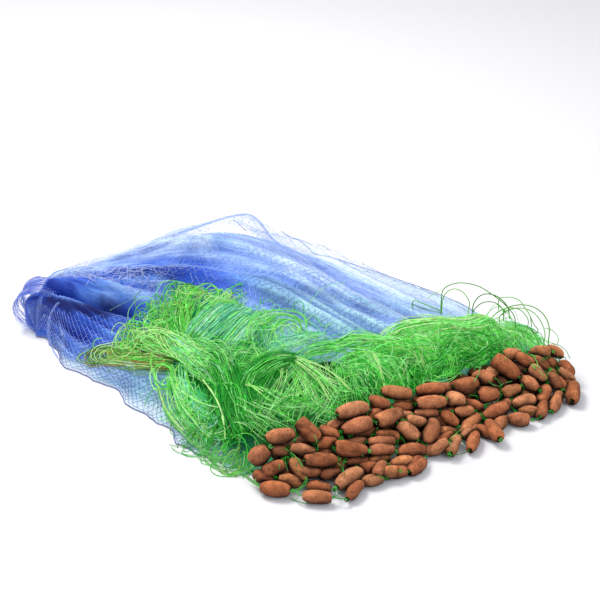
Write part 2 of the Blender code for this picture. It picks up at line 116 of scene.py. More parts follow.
def step01(x):
    x = np.clip(x, 0.0, 1.0)
    return x * x * (3 - 2 * x)


def read(xs, ys, x):
    """Table rows ys at xs, read at x on a smooth curve through each row. ys may have columns."""
    xs, ys, x = np.asarray(xs, float), np.asarray(ys, float), np.asarray(x, float)
    flat = ys.ndim == 1
    if flat:
        ys = ys[:, None]
    slope = np.empty_like(ys)
    slope[1:-1] = (ys[2:] - ys[:-2]) / (xs[2:] - xs[:-2])[:, None]
    slope[0] = (ys[1] - ys[0]) / (xs[1] - xs[0])
    slope[-1] = (ys[-1] - ys[-2]) / (xs[-1] - xs[-2])
    shape = x.shape
    x = np.clip(x.ravel(), xs[0], xs[-1])
    i = np.clip(np.searchsorted(xs, x) - 1, 0, len(xs) - 2)
    gap = (xs[i + 1] - xs[i])[:, None]
    t = (x[:, None] - xs[i][:, None]) / gap
    out = (
        (2 * t**3 - 3 * t**2 + 1) * ys[i]
        + (t**3 - 2 * t**2 + t) * slope[i] * gap
        + (-2 * t**3 + 3 * t**2) * ys[i + 1]
        + (t**3 - t**2) * slope[i + 1] * gap
    )
    return out[:, 0].reshape(shape) if flat else out.reshape(*shape, -1)


# ------------------------------------------------------------------ the fan of netting, as in the part
STATION_COLUMNS = ("front_x", "front_y", "back_x", "back_y")
STATIONS = (
    (-0.352, -0.088, -0.356, -0.022),
    (-0.338, -0.110, -0.332, 0.014),
    (-0.313, -0.151, -0.290, 0.042),
    (-0.272, -0.196, -0.225, 0.072),
    (-0.226, -0.238, -0.145, 0.108),
    (-0.186, -0.282, -0.055, 0.135),
    (-0.156, -0.322, 0.048, 0.112),
    (-0.130, -0.350, 0.145, 0.050),
    (-0.100, -0.378, 0.235, -0.025),
    (-0.066, -0.404, 0.312, -0.148),
)
ACROSS = (0.00, 0.08, 0.20, 0.34, 0.48, 0.62, 0.76, 0.88, 1.00)
HEIGHTS = (
    (2.0, 12, 26, 36, 40, 38, 30, 16, 2.0),
    (2.0, 15, 38, 53, 60, 59, 52, 32, 2.0),
    (2.0, 6, 32, 56, 64, 64, 56, 38, 2.0),
    (2.0, 3, 18, 44, 62, 70, 69, 50, 2.0),
    (2.0, 3, 10, 28, 52, 71, 82, 66, 2.0),
    (2.0, 3, 8, 22, 45, 64, 76, 62, 2.0),
    (2.0, 3, 8, 22, 40, 55, 61, 50, 2.0),
    (2.0, 3, 10, 22, 33, 43, 44, 34, 2.0),
    (2.0, 4, 12, 22, 27, 33, 34, 27, 2.0),
    (2.0, 6, 14, 20, 23, 25, 26, 21, 2.0),
)
ARCH_COLUMNS = ("station", "crest_mm")
ARCH = ((3.3, 72.0), (3.8, 84.0), (4.3, 90.0), (4.65, 98.0), (4.95, 104.0), (5.25, 94.0), (5.5, 84.0), (5.85, 72.0), (6.2, 60.0))
ARCH_ACROSS, ARCH_HALF = 0.775, 0.062

# The main folds of the gathered netting, listed one by one: ridges (+) and troughs (-).
FOLD_COLUMNS = ("from_station", "to_station", "across_start", "across_middle", "across_end", "height_mm", "half_width")
FOLDS = (
    (0.5, 4.1, 0.315, 0.365, 0.400, -24.0, 0.026),
    (0.5, 3.6, 0.385, 0.430, 0.455, 9.0, 0.030),
    (2.0, 6.0, 0.640, 0.665, 0.640, -17.0, 0.036),
    (0.8, 5.0, 0.520, 0.560, 0.570, 8.0, 0.030),
    (1.2, 7.2, 0.745, 0.740, 0.690, 9.0, 0.022),
    (0.3, 3.2, 0.250, 0.275, 0.310, 8.0, 0.036),
    (0.8, 2.9, 0.160, 0.180, 0.190, -8.0, 0.026),
    (3.4, 8.2, 0.835, 0.825, 0.815, 6.0, 0.020),
    (4.2, 8.0, 0.715, 0.705, 0.690, -8.0, 0.018),
    (4.8, 8.0, 0.595, 0.585, 0.575, 8.0, 0.022),
    (1.0, 6.0, 0.900, 0.905, 0.910, 8.0, 0.024),
    (2.6, 7.6, 0.950, 0.945, 0.940, -6.0, 0.018),
    (0.6, 3.4, 0.800, 0.820, 0.840, -9.0, 0.026),
    (5.4, 8.8, 0.880, 0.890, 0.900, 7.0, 0.024),
    (1.8, 5.6, 0.475, 0.490, 0.500, -8.0, 0.018),
    (5.6, 8.4, 0.660, 0.650, 0.640, -9.0, 0.016),
    (0.3, 2.0, 0.550, 0.565, 0.580, -8.0, 0.026),
    (5.0, 8.6, 0.770, 0.765, 0.755, -6.0, 0.014),
    (3.0, 6.5, 0.780, 0.790, 0.775, 5.0, 0.014),
)


def edge_wave(a):
    return 0.0050 * np.sin(2.9 * a + 0.6) + 0.0026 * np.sin(6.1 * a)


def plan(a, b):
    """Row-frame x, y of station a and share b of the way across. Beyond 0 and 9 it turns the end."""
    a, b = np.broadcast_arrays(np.asarray(a, float), np.asarray(b, float))
    inside = np.clip(a, 0.0, 9.0)
    row = read(range(len(STATIONS)), STATIONS, inside)
    x = row[..., 0] + b * (row[..., 2] - row[..., 0])
    y = row[..., 1] + b * (row[..., 3] - row[..., 1])
    push = edge_wave(inside) * np.clip(1 - b, 0, 1) ** 6 * step01((9.0 - inside) / 0.8)
    x, y = x - 0.7 * push, y - 0.7 * push
    past = np.clip(-a, 0.0, 1.0)
    bow = np.sin(np.pi * np.clip(b, 0.0, 1.0))
    x = x - 0.020 * np.sin(past * np.pi / 2) * bow
    past = np.clip(a - 9.0, 0.0, 1.0)
    x, y = x + 0.006 * past * bow, y - 0.009 * past * bow
    return x + SHIFT[0], y + SHIFT[1]


fine = np.random.default_rng(77)
# Smaller gathers between the main folds: from_station, to_station, across, drift, height_mm, half_width.
GATHERS = [
    (
        s := fine.uniform(-0.2, 6.6),
        s + fine.uniform(1.2, 3.6),
        fine.uniform(0.03, 0.97),
        fine.normal(0, 0.018),
        fine.choice((-1.0, 1.0)) * fine.uniform(1.0, 3.2),
        fine.uniform(0.006, 0.013),
    )
    for _ in range(150)
]
wrinkle = Wave(5, 2, (1.3, 34.0), 3)
crumple = Wave(6, 2, (5.0, 30.0), 3)


def main_height(a, b, arch=False):
    """Height of the gathered netting's upper side, in metres, with its main folds."""
    a, b = np.broadcast_arrays(np.asarray(a, float), np.asarray(b, float))
    inside = np.clip(a, 0.0, 9.0)
    table = read(range(len(HEIGHTS)), HEIGHTS, inside.ravel())  # (n, 9)
    xs = np.array(ACROSS)
    bb = np.clip(b.ravel(), 0.0, 1.0)
    slope = np.empty_like(table)
    slope[:, 1:-1] = (table[:, 2:] - table[:, :-2]) / (xs[2:] - xs[:-2])
    slope[:, 0] = (table[:, 1] - table[:, 0]) / (xs[1] - xs[0])
    slope[:, -1] = (table[:, -1] - table[:, -2]) / (xs[-1] - xs[-2])
    i = np.clip(np.searchsorted(xs, bb) - 1, 0, len(xs) - 2)
    n = np.arange(len(bb))
    gap = xs[i + 1] - xs[i]
    t = (bb - xs[i]) / gap
    height = (
        (2 * t**3 - 3 * t**2 + 1) * table[n, i]
        + (t**3 - 2 * t**2 + t) * slope[n, i] * gap
        + (-2 * t**3 + 3 * t**2) * table[n, i + 1]
        + (t**3 - t**2) * slope[n, i + 1] * gap
    ).reshape(a.shape)
    for a0, a1, b0, bm, b1, tall, half in FOLDS:
        t = np.clip((inside - a0) / (a1 - a0), 0, 1)
        middle = read((0.0, 0.5, 1.0), (b0, bm, b1), t) + 0.004 * np.sin(9.0 * t + 7.0 * b0)
        fade = step01(t / 0.18) * step01((1 - t) / 0.22)
        height = height + fade * tall * np.exp(-(((b - middle) / half) ** 2))
    if arch:
        crest = read([r[0] for r in ARCH], [r[1] for r in ARCH], inside)
        side = np.abs(b - ARCH_ACROSS) / ARCH_HALF
        rise = np.where((inside > ARCH[0][0]) & (inside < ARCH[-1][0]), step01((1.6 - side) / 0.9), 0.0)
        height = height + np.maximum(crest - height, 0.0) * rise
    return np.maximum(height, 2.0) * MM


def gathers(a, b):
    """The smaller gathers and the crumple of the netting, in metres."""
    a, b = np.broadcast_arrays(np.asarray(a, float), np.asarray(b, float))
    add = np.zeros(a.shape)
    for a0, a1, b0, drift, tall, half in GATHERS:
        t = (a - a0) / (a1 - a0)
        near = (t > 0) & (t < 1)
        middle = b0 + drift * t + 0.004 * np.sin(8 * t + 31 * b0)
        add += np.where(near, step01(t / 0.3) * step01((1 - t) / 0.3), 0.0) * tall * np.exp(-(((b - middle) / half) ** 2))
    edge = step01(b / 0.14) * step01((1 - b) / 0.10)
    skirt = step01((b - 0.01) / 0.04) * (1 - edge)
    return (edge * (add + 0.9 * wrinkle(a, b) + 0.5 * crumple(a, b)) + skirt * 0.5 * (add + crumple(a, b)).clip(-1, 3)) * MM


# Where the netting is one loose fold over the mass, the mass lies this far under it (mm).
UNDER_COLUMNS = ("station", "from_across", "drop_mm")
UNDER = (
    (-1.0, 0.70, 4.0),
    (0.0, 0.70, 8.0),
    (1.0, 0.71, 18.0),
    (2.0, 0.73, 21.0),
    (3.0, 0.76, 20.0),
    (4.0, 0.78, 16.0),
    (5.0, 0.79, 12.0),
    (6.0, 0.79, 22.0),
    (7.0, 0.78, 22.0),
    (8.0, 0.82, 15.0),
    (9.0, 0.90, 4.0),
)


def mass_height(a, b):
    """Height of the dense mass of netting under the loose outer fold."""
    a, b = np.broadcast_arrays(np.asarray(a, float), np.asarray(b, float))
    table = np.array(UNDER)
    start = read(table[:, 0], table[:, 1], a)
    drop = read(table[:, 0], table[:, 2], a)
    z = main_height(a, b) + gathers(a, b)
    z = z - drop * MM * step01((b - start + 0.03) / 0.10)
    past = np.clip(np.maximum(-a, a - 9.0), 0.0, 1.0)
    return np.maximum(z, 0.0016) * np.sqrt(np.clip(1 - past**2, 0.0, 1.0)) + 0.0004


def veil_height(a, b):
    """Height of the loose outer fold of netting over the mass."""
    z = main_height(a, b, arch=True) + 0.6 * gathers(a, b)
    past = np.clip(np.maximum(-np.asarray(a, float), np.asarray(a, float) - 9.0), 0.0, 1.0)
    return np.maximum(z, 0.0020) * np.sqrt(np.clip(1 - past**2, 0.0, 1.0)) + 0.0006


class Fan:
    """A height over the fan, kept on a grid so that many thread points can be read from it."""

    def __init__(self, height, low=-1.0, high=10.0, na=551, nb=401):
        self.a, self.b = np.linspace(low, high, na), np.linspace(0.0, 1.0, nb)
        aa, bb = np.meshgrid(self.a, self.b, indexing="ij")
        x, y = plan(aa, bb)
        self.p = np.stack((x, y, height(aa, bb)), -1)

    def __call__(self, a, b, lift=0.0):
        a, b = np.broadcast_arrays(np.asarray(a, float), np.asarray(b, float))
        i = np.clip((a - self.a[0]) / (self.a[1] - self.a[0]), 0, len(self.a) - 1.001)
        j = np.clip(b / (self.b[1] - self.b[0]), 0, len(self.b) - 1.001)
        i0, j0 = i.astype(int), j.astype(int)
        s, t = (i - i0)[..., None], (j - j0)[..., None]
        p = (
            self.p[i0, j0] * (1 - s) * (1 - t)
            + self.p[i0 + 1, j0] * s * (1 - t)
            + self.p[i0, j0 + 1] * (1 - s) * t
            + self.p[i0 + 1, j0 + 1] * s * t
        )
        p[..., 2] += lift
        return p


mass, veil = Fan(mass_height), Fan(veil_height)

# ------------------------------------------------------------------ mesh making
made_triangles = {}


def mesh_object(name, points, quads=None, tris=None, tint=None, fan=None, material=None, smooth=True):
    """An object from arrays. tint is a colour a point (r, g, b, a), fan a vector a point."""
    points = np.asarray(points, np.float32).reshape(-1, 3)
    quads = np.zeros((0, 4), np.int32) if quads is None else np.asarray(quads, np.int32).reshape(-1, 4)
    tris = np.zeros((0, 3), np.int32) if tris is None else np.asarray(tris, np.int32).reshape(-1, 3)
    mesh = bpy.data.meshes.new(name)
    mesh.vertices.add(len(points))
    mesh.vertices.foreach_set("co", points.ravel())
    loops = np.concatenate((quads.ravel(), tris.ravel()))
    mesh.loops.add(len(loops))
    mesh.loops.foreach_set("vertex_index", loops)
    mesh.polygons.add(len(quads) + len(tris))
    start = np.concatenate((np.arange(len(quads)) * 4, len(quads) * 4 + np.arange(len(tris)) * 3)).astype(np.int32)
    mesh.polygons.foreach_set("loop_start", start)
    mesh.update(calc_edges=True)
    if tint is not None:
        tint = np.asarray(tint, np.float32)
        if tint.shape[-1] == 3:
            tint = np.concatenate((tint, np.ones((*tint.shape[:-1], 1), np.float32)), -1)
        layer = mesh.color_attributes.new("tint", "FLOAT_COLOR", "POINT")
        layer.data.foreach_set("color", tint.reshape(-1, 4).ravel())
    if fan is not None:
        layer = mesh.attributes.new("fan", "FLOAT_VECTOR", "POINT")
        layer.data.foreach_set("vector", np.asarray(fan, np.float32).reshape(-1, 3).ravel())
    mesh.polygons.foreach_set("use_smooth", np.full(len(mesh.polygons), smooth))
    if material is not None:
        mesh.materials.append(material)
    obj = bpy.data.objects.new(name, mesh)
    bpy.context.scene.collection.objects.link(obj)
    made_triangles[name] = 2 * len(quads) + len(tris)
    return obj


def grid_quads(rows, cols, offset=0, wrap=False):
    i, j = np.meshgrid(np.arange(rows - 1), np.arange(cols if wrap else cols - 1), indexing="ij")
    k = (j + 1) % cols
    quads = np.stack((i * cols + j, (i + 1) * cols + j, (i + 1) * cols + k, i * cols + k), -1)
    return quads.reshape(-1, 4) + offset


class Threads:
    """Many thin tubes gathered into one mesh."""

    def __init__(self, sides=3):
        self.sides, self.count = sides, 0
        self.points, self.quads, self.tris, self.tints = [], [], [], []

    def add(self, path, radius, tint):
        """path is (strands, points, 3); radius and tint are a number, or one a strand, or one a point."""
        path = np.asarray(path, float)
        if path.ndim == 2:
            path = path[None]
        s, n, _ = path.shape
        if n < 2 or s < 1:
            return
        along = np.empty_like(path)
        along[:, 1:-1] = path[:, 2:] - path[:, :-2]
        along[:, 0], along[:, -1] = path[:, 1] - path[:, 0], path[:, -1] - path[:, -2]
        along /= np.linalg.norm(along, axis=-1, keepdims=True) + 1e-12
        side = np.cross(along[:, 0], np.array((0.17, 0.23, 0.95)))
        side /= np.linalg.norm(side, axis=-1, keepdims=True) + 1e-12
        sides = np.empty_like(path)
        for k in range(n):
            side = side - (side * along[:, k]).sum(-1, keepdims=True) * along[:, k]
            side /= np.linalg.norm(side, axis=-1, keepdims=True) + 1e-12
            sides[:, k] = side
        other = np.cross(along, sides)
        radius = np.asarray(radius, float)
        radius = np.broadcast_to(radius if radius.ndim != 1 else radius[:, None], (s, n))
        tint = np.asarray(tint, float)
        if tint.ndim == 2:
            tint = tint[:, None, :]
        tint = np.broadcast_to(tint, (s, n, 3))
        turn = 2 * np.pi * np.arange(self.sides) / self.sides
        ring = (
            path[:, :, None]
            + radius[:, :, None, None] * (np.cos(turn)[:, None] * sides[:, :, None] + np.sin(turn)[:, None] * other[:, :, None])
        )
        m = self.sides
        quads = grid_quads(n, m, wrap=True)
        base = self.count + np.arange(s)[:, None, None] * (n * m)
        self.points.append(ring.reshape(-1, 3))
        self.quads.append((quads[None, :, ::-1] + base).reshape(-1, 4))
        fan_cap = np.array([(0, k, k + 1) for k in range(1, m - 1)])
        self.tris.append((fan_cap[None, :, ::-1] * 1 + base).reshape(-1, 3))
        self.tris.append((fan_cap[None] + (n - 1) * m + base).reshape(-1, 3))
        self.tints.append(np.repeat(tint[:, :, None, :], m, 2).reshape(-1, 3))
        self.count += s * n * m

    def build(self, name, material):
        return mesh_object(
            name,
            np.concatenate(self.points),
            np.concatenate(self.quads),
            np.concatenate(self.tris),
            tint=np.concatenate(self.tints),
            material=material,
        )


def runs(mask, least=3):
    """Start and end of each run of True."""
    edge = np.flatnonzero(np.diff(np.concatenate(((0,), mask.astype(int), (0,)))))
    return [(i, j) for i, j in zip(edge[::2], edge[1::2]) if j - i >= least]


# ------------------------------------------------------------------ materials
def shader(name):
    made = bpy.data.materials.new(name)
    made.use_nodes = True
    tree = made.node_tree
    return made, tree, tree.nodes["Principled BSDF"]


def node(tree, kind, **values):
    made = tree.nodes.new(kind)
    for key, value in values.items():
        if key.startswith("in_"):
            made.inputs[int(key[3:]) if key[3:].isdigit() else key[3:].replace("_", " ")].default_value = value
        else:
            setattr(made, key, value)
    return made


def tint_of(tree):
    return node(tree, "ShaderNodeVertexColor", layer_name="tint")


def math_node(tree, operation, a, b=None, clamp=False):
    made = node(tree, "ShaderNodeMath", operation=operation, use_clamp=clamp)
    for k, value in enumerate((a, b)):
        if value is None:
            continue
        if isinstance(value, (int, float)):
            made.inputs[k].default_value = value
        else:
            tree.links.new(value, made.inputs[k])
    return made.outputs[0]


def mix_colour(tree, factor, a, b, blend="MIX"):
    made = node(tree, "ShaderNodeMix", data_type="RGBA", blend_type=blend)
    for socket, value in ((0, factor), (6, a), (7, b)):
        if isinstance(value, (int, float)):
            made.inputs[socket].default_value = value
        elif isinstance(value, (tuple, list, np.ndarray)):
            made.inputs[socket].default_value = (*[float(k) for k in value[:3]], 1.0)
        else:
            tree.links.new(value, made.inputs[socket])
    return made.outputs[2]


LINE_PAINTED_GLOW = 0.30  # painted glow of the line: emission that lightens it as if light shone through it


def thread_material(name, roughness, sheen, grain_scale, translucent, painted_glow=0.0, gloss=0.5):
    """Monofilament: its own colour in the strand, a clear gloss, uneven tone along it, and, if asked, a painted glow:
    emission that lightens it as if light shone through.
    """
    made, tree, bsdf = shader(name)
    tint = tint_of(tree)
    place = node(tree, "ShaderNodeNewGeometry")
    noise = node(tree, "ShaderNodeTexNoise", in_Scale=grain_scale, in_Detail=2.0)
    tree.links.new(place.outputs["Position"], noise.inputs["Vector"])
    level = math_node(tree, "MULTIPLY_ADD", noise.outputs["Fac"], 0.9)
    level.node.inputs[2].default_value = 0.55
    grey = node(tree, "ShaderNodeCombineXYZ")
    for k in range(3):
        tree.links.new(level, grey.inputs[k])
    colour = mix_colour(tree, 1.0, tint.outputs["Color"], grey.outputs[0], "MULTIPLY")
    tree.links.new(colour, bsdf.inputs["Base Color"])
    bsdf.inputs["Roughness"].default_value = roughness
    bsdf.inputs["Sheen Weight"].default_value = sheen
    bsdf.inputs["Specular IOR Level"].default_value = gloss
    if painted_glow:
        tree.links.new(colour, bsdf.inputs["Emission Color"])
        bsdf.inputs["Emission Strength"].default_value = painted_glow
    if translucent:
        soft = node(tree, "ShaderNodeBsdfTranslucent")
        tree.links.new(colour, soft.inputs["Color"])
        both = node(tree, "ShaderNodeMixShader", in_0=translucent)
        tree.links.new(bsdf.outputs[0], both.inputs[1])
        tree.links.new(soft.outputs[0], both.inputs[2])
        tree.links.new(both.outputs[0], tree.nodes["Material Output"].inputs["Surface"])
    return made


# the netting's and the line's threads get a painted glow, lightening them as if light shone through
net_thread = thread_material("net_monofilament", 0.34, 0.15, 260.0, 0.0, 0.10)
line_thread = thread_material("line_monofilament", 0.34, 0.0, 180.0, 0.32, LINE_PAINTED_GLOW, 0.28)
cord_thread = thread_material("selvedge_cord", 0.60, 0.25, 600.0, 0.0)


def netting_material(name):
    """Gathered netting seen as cloth: streaks along the folds, a fine mesh in them, open where sheer."""
    made, tree, bsdf = shader(name)
    tint = tint_of(tree)
    where = node(tree, "ShaderNodeAttribute", attribute_name="fan")
    stretch = node(tree, "ShaderNodeMapping")
    stretch.inputs["Scale"].default_value = (2.6, 150.0, 1.0)
    tree.links.new(where.outputs["Vector"], stretch.inputs["Vector"])
    streak = node(tree, "ShaderNodeTexNoise", in_Scale=1.0, in_Detail=4.0, in_Roughness=0.62)
    tree.links.new(stretch.outputs[0], streak.inputs["Vector"])
    stretch2 = node(tree, "ShaderNodeMapping")
    stretch2.inputs["Scale"].default_value = (11.0, 75.0, 1.0)
    tree.links.new(where.outputs["Vector"], stretch2.inputs["Vector"])
    mesh_cells = node(tree, "ShaderNodeTexVoronoi", in_Scale=1.6, feature="DISTANCE_TO_EDGE")
    tree.links.new(stretch2.outputs[0], mesh_cells.inputs["Vector"])
    threads = math_node(tree, "SUBTRACT", 1.0, math_node(tree, "MULTIPLY", mesh_cells.outputs["Distance"], 5.0, True), True)
    ramp = node(tree, "ShaderNodeValToRGB")
    ramp.color_ramp.elements[0].position, ramp.color_ramp.elements[0].color = 0.30, (0.70, 0.74, 0.86, 1)
    ramp.color_ramp.elements[1].position, ramp.color_ramp.elements[1].color = 0.70, (1.30, 1.26, 1.12, 1)
    tree.links.new(streak.outputs["Fac"], ramp.inputs["Fac"])
    colour = mix_colour(tree, 1.0, tint.outputs["Color"], ramp.outputs["Color"], "MULTIPLY")
    lit = mix_colour(tree, 1.0, mix_colour(tree, 1.0, colour, (1.5, 1.5, 1.35), "MULTIPLY"), (0.006, 0.010, 0.030), "ADD")
    colour = mix_colour(tree, math_node(tree, "MULTIPLY", threads, 0.55), colour, lit)
    tree.links.new(colour, bsdf.inputs["Base Color"])
    bsdf.inputs["Roughness"].default_value = 0.55
    bsdf.inputs["Sheen Weight"].default_value = 0.12
    bsdf.inputs["Sheen Roughness"].default_value = 0.4
    bsdf.inputs["Specular IOR Level"].default_value = 0.18
    # painted glow: a little emission in the netting's own colour lightens it as if light shone through
    tree.links.new(colour, bsdf.inputs["Emission Color"])
    bsdf.inputs["Emission Strength"].default_value = 0.08
    cover = math_node(tree, "MULTIPLY_ADD", streak.outputs["Fac"], 1.3)
    cover.node.inputs[2].default_value = 0.35
    opening = math_node(tree, "MULTIPLY", cover, tint.outputs["Alpha"])
    solid = math_node(tree, "GREATER_THAN", tint.outputs["Alpha"], 0.93)
    tree.links.new(math_node(tree, "MAXIMUM", opening, solid, True), bsdf.inputs["Alpha"])
    bump = node(tree, "ShaderNodeBump", in_Strength=0.55, in_Distance=0.0012)
    relief = math_node(tree, "ADD", streak.outputs["Fac"], math_node(tree, "MULTIPLY", threads, 0.35))
    tree.links.new(relief, bump.inputs["Height"])
    tree.links.new(bump.outputs[0], bsdf.inputs["Normal"])
    return made


net_cloth = netting_material("netting_gathered")


def clay_material():
    made, tree, bsdf = shader("fired_clay_and_painted_shade")
    tint = tint_of(tree)
    place = node(tree, "ShaderNodeTexCoord")
    at = place.outputs["Object"]
    grain = node(tree, "ShaderNodeTexNoise", in_Scale=420.0, in_Detail=6.0, in_Roughness=0.72)
    patch = node(tree, "ShaderNodeTexNoise", in_Scale=110.0, in_Detail=3.0)
    pits = node(tree, "ShaderNodeTexVoronoi", in_Scale=210.0, in_Randomness=1.0)
    scratch_map = node(tree, "ShaderNodeMapping")
    scratch_map.inputs["Scale"].default_value = (420.0, 90.0, 420.0)
    scratch_map.inputs["Rotation"].default_value = (0.3, 0.2, 1.2)
    scratch = node(tree, "ShaderNodeTexNoise", in_Scale=1.0, in_Detail=3.0)
    for texture in (grain, patch, pits, scratch_map):
        tree.links.new(at, texture.inputs["Vector"])
    tree.links.new(scratch_map.outputs[0], scratch.inputs["Vector"])
    ramp = node(tree, "ShaderNodeValToRGB")
    ramp.color_ramp.elements[0].position, ramp.color_ramp.elements[0].color = 0.30, (0.66, 0.60, 0.56, 1)
    ramp.color_ramp.elements[1].position, ramp.color_ramp.elements[1].color = 0.72, (1.18, 1.16, 1.14, 1)
    tree.links.new(patch.outputs["Fac"], ramp.inputs["Fac"])
    colour = mix_colour(tree, 1.0, tint.outputs["Color"], ramp.outputs["Color"], "MULTIPLY")
    speck = node(tree, "ShaderNodeValToRGB")
    speck.color_ramp.elements[0].position, speck.color_ramp.elements[0].color = 0.36, (0.72, 0.66, 0.62, 1)
    speck.color_ramp.elements[1].position, speck.color_ramp.elements[1].color = 0.60, (1.12, 1.12, 1.12, 1)
    tree.links.new(grain.outputs["Fac"], speck.inputs["Fac"])
    colour = mix_colour(tree, 0.8, colour, mix_colour(tree, 1.0, colour, speck.outputs["Color"], "MULTIPLY"))
    bsdf.inputs["Roughness"].default_value = 0.88
    bsdf.inputs["Specular IOR Level"].default_value = 0.22
    # painted shade: the pits are darkened nearly to black
    hole = math_node(tree, "LESS_THAN", pits.outputs["Distance"], 0.18)
    colour = mix_colour(tree, math_node(tree, "MULTIPLY", hole, 0.55), colour, (0.10, 0.045, 0.03, 1))
    tree.links.new(colour, bsdf.inputs["Base Color"])
    relief = math_node(tree, "ADD", grain.outputs["Fac"], math_node(tree, "MULTIPLY", scratch.outputs["Fac"], 0.9))
    relief = math_node(tree, "SUBTRACT", relief, math_node(tree, "MULTIPLY", hole, 0.7))
    bump = node(tree, "ShaderNodeBump", in_Strength=0.9, in_Distance=0.0017)
    tree.links.new(relief, bump.inputs["Height"])
    tree.links.new(bump.outputs[0], bsdf.inputs["Normal"])
    return made


clay = clay_material()


def floor_material():
    made, tree, bsdf = shader("pale_floor")
    noise = node(tree, "ShaderNodeTexNoise", in_Scale=3.0, in_Detail=2.0)
    ramp = node(tree, "ShaderNodeValToRGB")
    ramp.color_ramp.elements[0].color = (0.93, 0.93, 0.945, 1)
    ramp.color_ramp.elements[1].color = (0.955, 0.955, 0.965, 1)
    tree.links.new(noise.outputs["Fac"], ramp.inputs["Fac"])
    tree.links.new(ramp.outputs["Color"], bsdf.inputs["Base Color"])
    bsdf.inputs["Roughness"].default_value = 0.9
    bsdf.inputs["Specular IOR Level"].default_value = 0.1
    return made


floor = mesh_object(
    "floor",
    [(-7, -5, -0.0002), (7, -5, -0.0002), (7, 9, -0.0002), (-7, 9, -0.0002)],
    [(0, 1, 2, 3)],
    material=floor_material(),
    smooth=False,
)

world = bpy.data.worlds.new("studio")
bpy.context.scene.world = world
world.use_nodes = True
world.node_tree.nodes["Background"].inputs["Color"].default_value = (0.965, 0.965, 1.0, 1.0)
world.node_tree.nodes["Background"].inputs["Strength"].default_value = 0.62
bpy.context.scene.view_settings.view_transform = "Standard"
bpy.context.scene.view_settings.look = "None"
bpy.context.scene.cycles.transparent_max_bounces = 24


def area_light(name, place, aim, size, power, colour=(1, 1, 1)):
    light = bpy.data.lights.new(name, "AREA")
    light.shape, light.size = "DISK", size
    light.energy, light.color = power, colour
    obj = bpy.data.objects.new(name, light)
    bpy.context.scene.collection.objects.link(obj)
    obj.location = place
    obj.rotation_euler = (Vector(aim) - Vector(place)).to_track_quat("-Z", "Y").to_euler()


area_light("key", (-0.75, 0.55, 1.65), (0.0, 0.0, 0.0), 0.9, 26.0, (1.0, 0.985, 0.96))
area_light("fill", (1.1, -1.3, 1.2), (0.0, 0.0, 0.03), 1.4, 7.0, (0.86, 0.92, 1.0))

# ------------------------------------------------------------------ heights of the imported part
def tree_of(names):
    points, faces = [], []
    for name in names:
        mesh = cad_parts[name].data
        mesh.calc_loop_triangles()
        co = np.empty(len(mesh.vertices) * 3)
        mesh.vertices.foreach_get("co", co)
        tri = np.empty(len(mesh.loop_triangles) * 3, int)
        mesh.loop_triangles.foreach_get("vertices", tri)
        faces.append(tri.reshape(-1, 3) + sum(len(p) for p in points))
        points.append(co.reshape(-1, 3))
    return BVHTree.FromPolygons(np.concatenate(points).tolist(), np.concatenate(faces).tolist())


class Ground:
    """Height of the top of some CAD nodes over the floor, on a square grid."""

    STEP = 0.003

    def __init__(self, names):
        self.low = np.array((CAD_LOW[0] - 0.03, CAD_LOW[1] - 0.03))
        nx = int((CAD_HIGH[0] + 0.03 - self.low[0]) / self.STEP) + 2
        ny = int((CAD_HIGH[1] + 0.03 - self.low[1]) / self.STEP) + 2
        tree, down = tree_of(names), Vector((0, 0, -1))
        self.z = np.zeros((nx, ny))
        for i in range(nx):
            for j in range(ny):
                hit = tree.ray_cast(Vector((self.low[0] + i * self.STEP, self.low[1] + j * self.STEP, 0.5)), down)[0]
                if hit is not None:
                    self.z[i, j] = hit.z

    def __call__(self, x, y):
        i = np.clip((x - self.low[0]) / self.STEP, 0, self.z.shape[0] - 1.001)
        j = np.clip((y - self.low[1]) / self.STEP, 0, self.z.shape[1] - 1.001)
        i0, j0 = i.astype(int), j.astype(int)
        s, t = i - i0, j - j0
        z = self.z
        return z[i0, j0] * (1 - s) * (1 - t) + z[i0 + 1, j0] * s * (1 - t) + z[i0, j0 + 1] * (1 - s) * t + z[i0 + 1, j0 + 1] * s * t


NODES = sorted(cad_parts)
HANKS = [n for n in NODES if n.startswith("line_hank")]
BEADS = [n for n in NODES if n.startswith("sinker_") and n != "sinker_bed"]
net_top = Ground(["netting"])
soft_top = Ground(["netting", *HANKS])
all_top = Ground(["netting", *HANKS, *BEADS, "sinker_bed"])


def blurred(ground, cells):
    """The same ground with its steps smoothed."""
    made = object.__new__(Ground)
    made.low = ground.low
    z = ground.z.copy()
    for _ in range(2):
        for axis in (0, 1):
            padded = np.pad(z, [(cells, cells) if k == axis else (0, 0) for k in (0, 1)], mode="edge")
            total = np.cumsum(padded, axis=axis)
            total = np.concatenate((np.zeros_like(np.take(total, [0], axis)), total), axis)
            size = 2 * cells + 1
            hi = np.take(total, np.arange(size, total.shape[axis]), axis)
            lo = np.take(total, np.arange(0, total.shape[axis] - size), axis)
            z = (hi - lo) / size
    made.z = z
    return made


net_soft = blurred(net_top, 2)


def onto(ground, u, v, lift):
    """The row-frame points over a ground, lift metres up, that the view shows at (u, v)."""
    u, v, lift = np.broadcast_arrays(*(np.asarray(k, float) for k in (u, v, lift)))
    z = np.full(u.shape, 0.05)
    for _ in range(14):
        p = seen(u, v, z)
        z = z + 0.6 * (np.maximum(ground(p[..., 0], p[..., 1]), 0.0) + lift - z)
    return seen(u, v, z)

